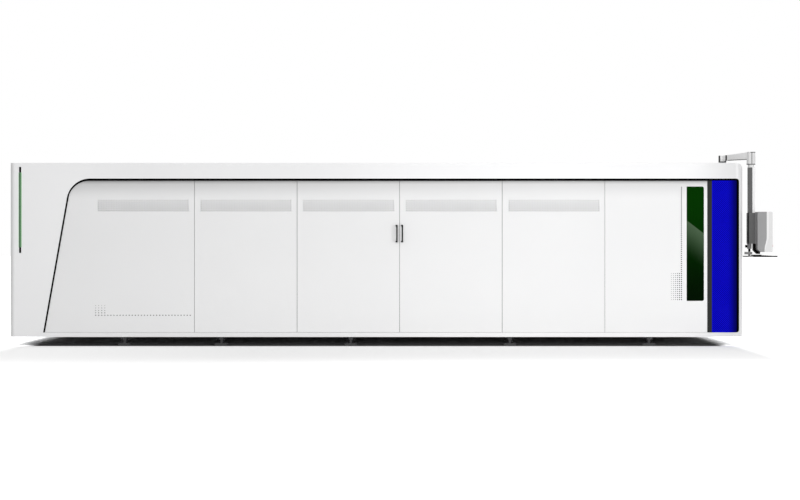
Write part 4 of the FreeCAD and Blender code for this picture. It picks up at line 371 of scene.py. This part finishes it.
NODE_MATERIALS = (
    (WHITE, ("roof_panels", "near_fascia", "far_fascia", "left_end_wall", "right_end_wall")),
    (PANEL, ("right_end_panels", "near_panels", "near_window_panel", "far_panels",
             "near_door_left", "near_door_right")),
    (BLACK_TRIM, ("recess_trims",)),
    (STRIP, ("corner_strips",)),
    (BLUE, ("corner_grilles",)),
    (GLASS, ("window_glass",)),
    (LENS, ("status_light_lens",)),
    (POSTS, ("enclosure_posts",)),
    (FRAME, ("base_frame", "lift_door_guides", "pallet_frame")),
    (BED, ("machine_bed", "gantry_trucks")),
    (GREY, ("lift_door", "gantry_beam", "pendant_base")),
    (RAW, ("support_slats",)),
    (HARD, ("x_guide_rails", "x_gear_racks", "y_guide_rails", "x_pinion_near", "x_pinion_far")),
    (ZINC, ("door_pivots", "scrap_bins", "scrap_chutes", "exhaust_duct")),
    (ALU, ("y_carriage", "z_slide")),
    (DARK, ("levelling_feet", "x_drive_motors", "cutting_head")),
    (BLACK, ("near_handle_left", "near_handle_right", "status_light_housing", "clamp_knob",
             "panel_bracket", "keyboard")),
    (ARM, ("pendant_arm",)),
    (COLUMN, ("pendant_column",)),
    (PALE, ("cable_cover",)),
    (SHELL, ("hmi_housing",)),
    (BEZEL, ("hmi_bezel",)),
    (SCREEN, ("hmi_screen",)),
    (RED, ("emergency_stop",)),
    (GREEN, ("start_button",)),
    (CLAMP, ("tray_clamp",)),
    (TRAY, ("keyboard_tray",)),
)
for material, nodes in NODE_MATERIALS:
    for node in nodes:
        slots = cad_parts[node].data.materials
        slots.clear()
        slots.append(material)


# --- mesh tools ---------------------------------------------------------------------------
X, Z = Vector((1, 0, 0)), Vector((0, 0, 1))


class Mesh:
    """Points and faces of one piece, gathered before it is made."""

    def __init__(self, *materials):
        self.points, self.faces, self.slots, self.materials = [], [], [], materials

    def add(self, points):
        """Add points; returns their numbers."""
        first = len(self.points)
        self.points += points
        return list(range(first, len(self.points)))

    def ring(self, centre, radius, sides):
        """Regular polygon in an upright plane along the machine; returns its points' numbers."""
        points = []
        for i in range(sides):
            angle = 2 * math.pi * i / sides
            points.append(centre + X * (radius * math.cos(angle)) + Z * (radius * math.sin(angle)))
        return self.add(points)

    def face(self, corners, slot=0):
        self.faces.append(tuple(corners))
        self.slots.append(slot)

    def band(self, a, b, slot=0):
        """Faces between two rings with as many points each."""
        n = len(a)
        for i in range(n):
            self.face((a[i], a[(i + 1) % n], b[(i + 1) % n], b[i]), slot)

    def prism(self, section, low, high, clockwise=False):
        """Upright prism on a section of (x, y) points, which may run clockwise seen from above."""
        rings = [self.add([Vector((x, y, z)) for x, y in section]) for z in (low, high)]
        if clockwise:
            rings.reverse()
        self.band(*rings)
        self.face(reversed(rings[0]))
        self.face(rings[1])

    def block(self, low, high, edge):
        """Block with its upper (+Z) edges bevelled."""
        (x0, y0, z0), (x1, y1, z1) = low, high
        rings = []
        for inset, z in ((0, z0), (0, z1 - edge), (edge, z1)):
            rings.append(self.add([Vector((x0 + inset, y0 + inset, z)),
                                   Vector((x1 - inset, y0 + inset, z)),
                                   Vector((x1 - inset, y1 - inset, z)),
                                   Vector((x0 + inset, y1 - inset, z))]))
        self.face(reversed(rings[0]))
        self.band(rings[0], rings[1])
        self.band(rings[1], rings[2])
        self.face(rings[2])

    def make(self, name, body, smooth=False):
        data = bpy.data.meshes.new(name)
        data.from_pydata([tuple(p) for p in self.points], [], self.faces)
        for material in self.materials:
            data.materials.append(material)
        for polygon, slot in zip(data.polygons, self.slots):
            polygon.material_index = slot
            polygon.use_smooth = smooth
        data.update()
        piece = bpy.data.objects.new(name, data)
        bpy.context.scene.collection.objects.link(piece)
        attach(piece, body)


# --- holes in the sheets ------------------------------------------------------------------
OUTER_LIFT, CREST_LIFT, OPENING_LIFT = 0.0001, 0.0002, 0.00015       # off the panel's face
HOLE_RIM, HOLE_SIDES = 0.0008, 10


def punched(mesh, x, z, side, radius, sides=HOLE_SIDES):
    """Hole in a side panel: a pressed rim round a dark disc, painted shade standing in for the
    opening. side is -1 on the near face.
    """
    rings = []
    for lift, ring_radius in ((OUTER_LIFT, radius + HOLE_RIM), (CREST_LIFT, radius + HOLE_RIM / 2),
                              (OPENING_LIFT, radius)):
        y = side * (PANEL_FACE + lift)
        rings.append(mesh.ring(Vector((x, y, z)), ring_radius, sides))
    if side > 0:
        rings = [ring[::-1] for ring in rings]
    outer, crest, inner = rings
    mesh.face(reversed(outer), 1)
    mesh.band(outer, crest)
    mesh.band(crest, inner)
    mesh.face(inner, 1)


VENT_COLUMNS, VENT_ROWS = 36, 6
VENT_PITCH_X, VENT_PITCH_Z = 0.0344, 0.02702
VENT_TOP = 1.9577
VENT_RADIUS, VENT_GROWTH, GROWING_ROWS = 0.0060, 0.0018, 3           # wider from row to row
VENT_PANELS = (                                  # piece, body, middle of its panel
    ("vents_1", "machine", -3.3867), ("vents_2", "machine", -2.0002),
    ("vents_3", "near_left_leaf", -0.6131), ("vents_4", "near_right_leaf", 0.7740),
    ("vents_5", "machine", 2.1625),
)
for name, body, middle in VENT_PANELS:
    vents = Mesh(PANEL, HOLE)
    for row in range(VENT_ROWS):
        z = VENT_TOP - row * VENT_PITCH_Z
        radius = VENT_RADIUS + VENT_GROWTH * min(1.0, row / GROWING_ROWS)
        for column in range(VENT_COLUMNS):
            x = middle + (column - (VENT_COLUMNS - 1) / 2) * VENT_PITCH_X
            punched(vents, x, z, -1, radius)
    vents.make(name, body)

PERFORATION_PITCH, PERFORATION_RADIUS, PERFORATION_SIDES = 0.028, 0.0062, 6
# Between rows, and the sideways offset of every other row.
PERFORATION_STEP = PERFORATION_PITCH / 2
MARGIN_FOOT, MARGIN_HEAD, MARGIN_LEFT, MARGIN_RIGHT = 0.02, 0.01, 0.016, 0.012
PERFORATION_HEIGHT = RECESS_HEAD - RECESS_FOOT - MARGIN_FOOT - MARGIN_HEAD
PERFORATION_ROWS = int(PERFORATION_HEIGHT / PERFORATION_STEP)
for name, side in (("near_perforations", -1), ("far_perforations", 1)):
    holes = Mesh(BLUE, NAVY)
    for row in range(PERFORATION_ROWS):
        z = RECESS_FOOT + MARGIN_FOOT + row * PERFORATION_STEP
        x = GRILLE_LEFT + MARGIN_LEFT + (row % 2) * PERFORATION_STEP
        while x < GRILLE_RIGHT - MARGIN_RIGHT:
            punched(holes, x, z, side, PERFORATION_RADIUS, PERFORATION_SIDES)
            x += PERFORATION_PITCH
    holes.make(name, "machine")


# --- printed dots -------------------------------------------------------------------------
DOT_SIDES, CROWN_SHARE = 10, 0.85
DOT_LIFT, CROWN_LIFT = 0.0001, 0.0004            # off the panel's face


def dot(mesh, x, z, radius):
    rim = mesh.ring(Vector((x, -PANEL_FACE - DOT_LIFT, z)), radius, DOT_SIDES)
    crown = mesh.ring(Vector((x, -PANEL_FACE - CROWN_LIFT, z)), radius * CROWN_SHARE, DOT_SIDES)
    mesh.face(reversed(rim))
    mesh.band(rim, crown)
    mesh.face(crown)


LARGE_DOT, MIDDLE_DOT = 0.0078, 0.0074           # radii
# Beside the window: an upright line, and a patch on its left whose dots shrink leftwards.
DOT_PITCH = 0.02702
UPRIGHT_X, UPRIGHT_TOP, UPRIGHT_DOTS = 3.8832, 2.132, 57
PATCH_FOOT, PATCH_ROWS, PATCH_COLUMNS, PATCH_SHRINK = 0.619, 14, 5, 0.0009
# At the recess's left: a level line, and a stack on its first dots that shrinks upwards.
LINE_PITCH, LINE_LEFT, LINE_Z, LINE_DOTS = 0.0412, -4.0296, 0.407, 32
STACK_PITCH, STACK_ROWS, STACK_COLUMNS, STACK_SHRINK = 0.033, 4, 4, 0.0010
dots = Mesh(PRINT)
for i in range(UPRIGHT_DOTS):
    dot(dots, UPRIGHT_X, UPRIGHT_TOP - i * DOT_PITCH, LARGE_DOT)
for row in range(PATCH_ROWS):
    for column in range(PATCH_COLUMNS):
        dot(dots, UPRIGHT_X - (column + 1) * DOT_PITCH, PATCH_FOOT + row * DOT_PITCH,
            MIDDLE_DOT - PATCH_SHRINK * column)
for row in range(1, STACK_ROWS + 1):
    for column in range(STACK_COLUMNS):
        dot(dots, LINE_LEFT + column * LINE_PITCH, LINE_Z + row * STACK_PITCH,
            LARGE_DOT - STACK_SHRINK * row)
for column in range(LINE_DOTS):
    dot(dots, LINE_LEFT + column * LINE_PITCH, LINE_Z, MIDDLE_DOT)
dots.make("printed_dots", "machine")

# --- seals in the middle seams: on the left leaf's free edge and between the far panels ---
SEAM_X, SEAL_FOOT, SEAL_HEAD = 0.0765, 0.190, 2.200
SEAL_SECTION = ((-0.0025, 1.6225), (-0.0025, 1.6275), (-0.0012, 1.6290), (0.0006, 1.6290),
                (0.0019, 1.6275), (0.0019, 1.6225))
for name, body, side in (("door_seal", "near_left_leaf", -1), ("far_seam_seal", "machine", 1)):
    seal = Mesh(RUBBER)
    section = [(SEAM_X + x, side * y) for x, y in SEAL_SECTION]
    seal.prism(section, SEAL_FOOT, SEAL_HEAD, clockwise=side > 0)
    seal.make(name, body)

# --- rack teeth ---------------------------------------------------------------------------
MODULE = 0.005
TOOTH_PITCH, TOOTH_HEIGHT = math.pi * MODULE, 0.0095
HALF_ROOT, HALF_TIP = TOOTH_PITCH * 0.34, TOOTH_PITCH * 0.16
RACK_LEFT, RACK_LENGTH, RACK_FACE = -4.729, 8.79, 1.3180
TOOTH_COUNT = int(RACK_LENGTH / TOOTH_PITCH)
TOOTH_FOOT_Z, TOOTH_HEAD_Z = 0.786, 0.814
for name, side in (("near_rack_teeth", -1), ("far_rack_teeth", 1)):
    teeth = Mesh(HARD)
    root_y, tip_y = side * RACK_FACE, side * (RACK_FACE - TOOTH_HEIGHT)
    for i in range(TOOTH_COUNT):
        x = RACK_LEFT + (i + 0.5) * TOOTH_PITCH
        section = ((x - HALF_ROOT, root_y), (x - HALF_TIP, tip_y),
                   (x + HALF_TIP, tip_y), (x + HALF_ROOT, root_y))
        teeth.prism(section, TOOTH_FOOT_Z, TOOTH_HEAD_Z, clockwise=side < 0)
    teeth.make(name, "machine")

# --- status light's core and rims ---------------------------------------------------------
LIGHT_FACE_Y = -1.6531
CORE_PROFILE = ((0.0022, 0.0), (0.0034, -0.0012), (0.0050, -0.0018), (0.0066, -0.0012),
                (0.0078, 0.0))                   # sideways from the light's middle, outwards
CORE_STATIONS = ((1.327, 0.0), (1.337, 1.0), (2.322, 1.0), (2.332, 0.0))     # height, share
core = Mesh(GLOW)
grid = []
for z, share in CORE_STATIONS:
    grid.append(core.add([Vector((LIGHT_X + across, LIGHT_FACE_Y + out * share, z))
                          for across, out in CORE_PROFILE]))
for lower, upper in zip(grid, grid[1:]):
    for k in range(len(CORE_PROFILE) - 1):
        core.face((lower[k], lower[k + 1], upper[k + 1], upper[k]))
right_edge = [row[-1] for row in grid[1:-1]]
left_edge = [row[0] for row in grid[1:-1]]
outline = grid[0] + right_edge + grid[-1][::-1] + left_edge[::-1]
core.face(reversed(outline))
core.make("status_light_core", "machine", smooth=True)

RIM_INSIDE, RIM_OUTSIDE = 0.0136, 0.0225         # sideways from the light's middle
RIM_BACK_Y, RIM_FRONT_Y = -1.6501, -1.6522
RIM_FOOT, RIM_HEAD = 1.325, 2.334
# The rims' glow is painted light for the status light's glow on the fascia.
rim = Mesh(SPILL_GLOW)
for side in (-1, 1):
    inner, outer = LIGHT_X + side * RIM_INSIDE, LIGHT_X + side * RIM_OUTSIDE
    section = ((inner, RIM_BACK_Y), (inner, RIM_FRONT_Y), (outer, RIM_BACK_Y))
    rim.prism(section, RIM_FOOT, RIM_HEAD, clockwise=side < 0)
rim.make("status_light_rim", "machine")

# --- keyboard keys ------------------------------------------------------------------------
KEY_ROWS, KEY_COLUMNS = 5, 15
KEY_PITCH_X, KEY_PITCH_Y = 0.0255, 0.0232
KEY_X, KEY_Y = 5.103, -1.573                     # first row's middle, first column's start
HALF_KEY, KEY_WIDTH, KEY_DEPTH, KEY_EDGE = 0.0100, 0.0200, 0.012, 0.002
KEYBOARD_X, KEYBOARD_LENGTH = 4.9885, 0.15       # its rear edge, and its length to the front
KEYBOARD_TOP, KEYBOARD_FALL, KEY_LIFT = 1.2135, 0.008, 0.0045
keys = Mesh(BLACK)
for row in range(KEY_ROWS):
    x = KEY_X - row * KEY_PITCH_X
    top = KEYBOARD_TOP - KEYBOARD_FALL * (x - KEYBOARD_X) / KEYBOARD_LENGTH + KEY_LIFT
    for column in range(KEY_COLUMNS):
        y = KEY_Y + column * KEY_PITCH_Y
        keys.block((x - HALF_KEY, y, top - KEY_DEPTH), (x + HALF_KEY, y + KEY_WIDTH, top),
                   KEY_EDGE)
keys.make("keyboard_keys", "tray")

# --- world --------------------------------------------------------------------------------
# White where it is seen. As a light it is dimmer from the left and from the far right.
SKY_LEFT, SKY_RIGHT = (-1.0, 0.2, 0.30, 0.92), (0.3, 1.0, 1.0, 0.35)         # over its X
world = bpy.data.worlds.new("studio")
bpy.context.scene.world = world
world.use_nodes = True
sky = Tree(world.node_tree, "ShaderNodeOutputWorld", "Generated")
ambient = sky.times(sky.fade(sky.x, SKY_LEFT), sky.fade(sky.x, SKY_RIGHT))
strength = sky.nodes.new("ShaderNodeMix")
sky.give(strength.inputs[MIX_FACTOR],
         sky.seen_by("Is Camera Ray", "Is Glossy Ray", "Is Transmission Ray"))
sky.give(strength.inputs[FLOAT_A], ambient)
sky.give(strength.inputs[FLOAT_B], 1.0)
background = sky.nodes.new("ShaderNodeBackground")
sky.give(background.inputs["Color"], grey(1.0))
sky.give(background.inputs["Strength"], strength.outputs[FLOAT_OUT])
sky.give(sky.out.inputs["Surface"], background.outputs[0])


# --- floor --------------------------------------------------------------------------------
FLOOR_HALF = 400.0
# Ramps in metres, over the distance aside from the body's middle and ahead of its centre line.
# Painted soft shadow: a grey field in front of and behind the body, weaker at its left.
SHADE_FIELD_ASIDE, SHADE_FIELD_AHEAD = (4.7, 4.95, 1.0, 0.0), (4.5, 10.5, 1.0, 0.0)
SHADE_FIELD_LEFT = (-5.3, -1.5, 0.79, 0.99)            # over X
# Painted light: bright ground past the ends of the deep shadow, lifting the body's real shadow
# there.
LIT_PAST_ASIDE, LIT_PAST_AHEAD = (4.55, 4.80, 0.0, 1.0), (1.5, 1.95, 1.0, 0.0)
# Painted deep shadow under the body, over its real shadow, with its two steps of darkness from the
# middle outwards.
DEEP_ASIDE, DEEP_AHEAD = (4.55, 4.74, 1.0, 0.0), (1.83, 1.91, 1.0, 0.0)
DARKER, DARKEST = (0.6, 1.4, 0.0, 1.0), (1.45, 1.60, 0.0, 1.0)


def floor_paint():
    """Pale floor that shows the photo's white, field and shadow where a camera or a reflection
    sees it. Levels over 1 make up for the shadow that the body really casts there."""
    paint = Paint("floor_pale")
    aside = paint.maths("ABSOLUTE", paint.maths("ADD", paint.x, -BODY_MIDDLE_X))
    ahead = paint.maths("ABSOLUTE", paint.y)
    # Painted soft shadow before and behind the body, painted light past its ends, and painted deep
    # shadow under it.
    field = paint.times(paint.fade(aside, SHADE_FIELD_ASIDE), paint.fade(ahead, SHADE_FIELD_AHEAD))
    field = paint.times(field, paint.fade(paint.x, SHADE_FIELD_LEFT))
    shown = paint.blend(field, grey(1.8), grey(1.06))
    past = paint.times(paint.fade(aside, LIT_PAST_ASIDE), paint.fade(ahead, LIT_PAST_AHEAD))
    shown = paint.blend(past, shown, grey(4.0))
    under = paint.blend(paint.fade(ahead, DARKER), grey(1.1), grey(0.27))
    under = paint.blend(paint.fade(ahead, DARKEST), under, grey(0.12))
    deep = paint.times(paint.fade(aside, DEEP_ASIDE), paint.fade(ahead, DEEP_AHEAD))
    shown = paint.blend(deep, shown, under)
    pale = paint.blend(paint.noise(6.0), grey(0.84), grey(0.86))
    seen = paint.seen_by("Is Camera Ray", "Is Glossy Ray")
    paint.set("Base Color", paint.blend(seen, pale, shown))
    paint.set("Roughness", 0.9)
    paint.set("Specular IOR Level", 0.0)
    return paint.material


floor_mesh = bpy.data.meshes.new("floor")
floor_mesh.from_pydata([(-FLOOR_HALF, -FLOOR_HALF, 0), (FLOOR_HALF, -FLOOR_HALF, 0),
                        (FLOOR_HALF, FLOOR_HALF, 0), (-FLOOR_HALF, FLOOR_HALF, 0)],
                       [], [(0, 1, 2, 3)])
floor_mesh.materials.append(floor_paint())
floor = bpy.data.objects.new("floor", floor_mesh)
bpy.context.scene.collection.objects.link(floor)


# --- lamps and camera ---------------------------------------------------------------------
def lamp(name, place, target, size, power):
    """Round area light at place that points to target."""
    data = bpy.data.lights.new(name, "AREA")
    data.shape = "DISK"
    data.size = size
    data.energy = power
    light = bpy.data.objects.new(name, data)
    light.location = place
    light.rotation_euler = (Vector(target) - Vector(place)).to_track_quat("-Z", "Y").to_euler()
    bpy.context.scene.collection.objects.link(light)


# The key lamp comes from the right, the other two from ahead and from the left.
lamp("key", (12.5, -13.0, 2.9), (1.5, -1.6, 1.0), 5.0, 560.0)
lamp("middle", (2.2, -11.0, 1.6), (2.2, -1.6, 0.8), 2.6, 138.0)
lamp("fill", (-4.0, -18.0, 3.2), (-1.0, -1.6, 0.8), 6.0, 252.0)

# A level view of the near side from 30 m, with the photo's weak perspective.
lens = bpy.data.cameras.new("camera")
lens.lens = 100.0
lens.sensor_width = 36.0
lens.clip_end = 500.0
camera = bpy.data.objects.new("camera", lens)
camera.location = (0.0815, -31.65, 1.289)
camera.rotation_euler = (math.radians(90), 0, 0)
bpy.context.scene.collection.objects.link(camera)
bpy.context.scene.camera = camera
bpy.context.scene.view_settings.view_transform = "Standard"
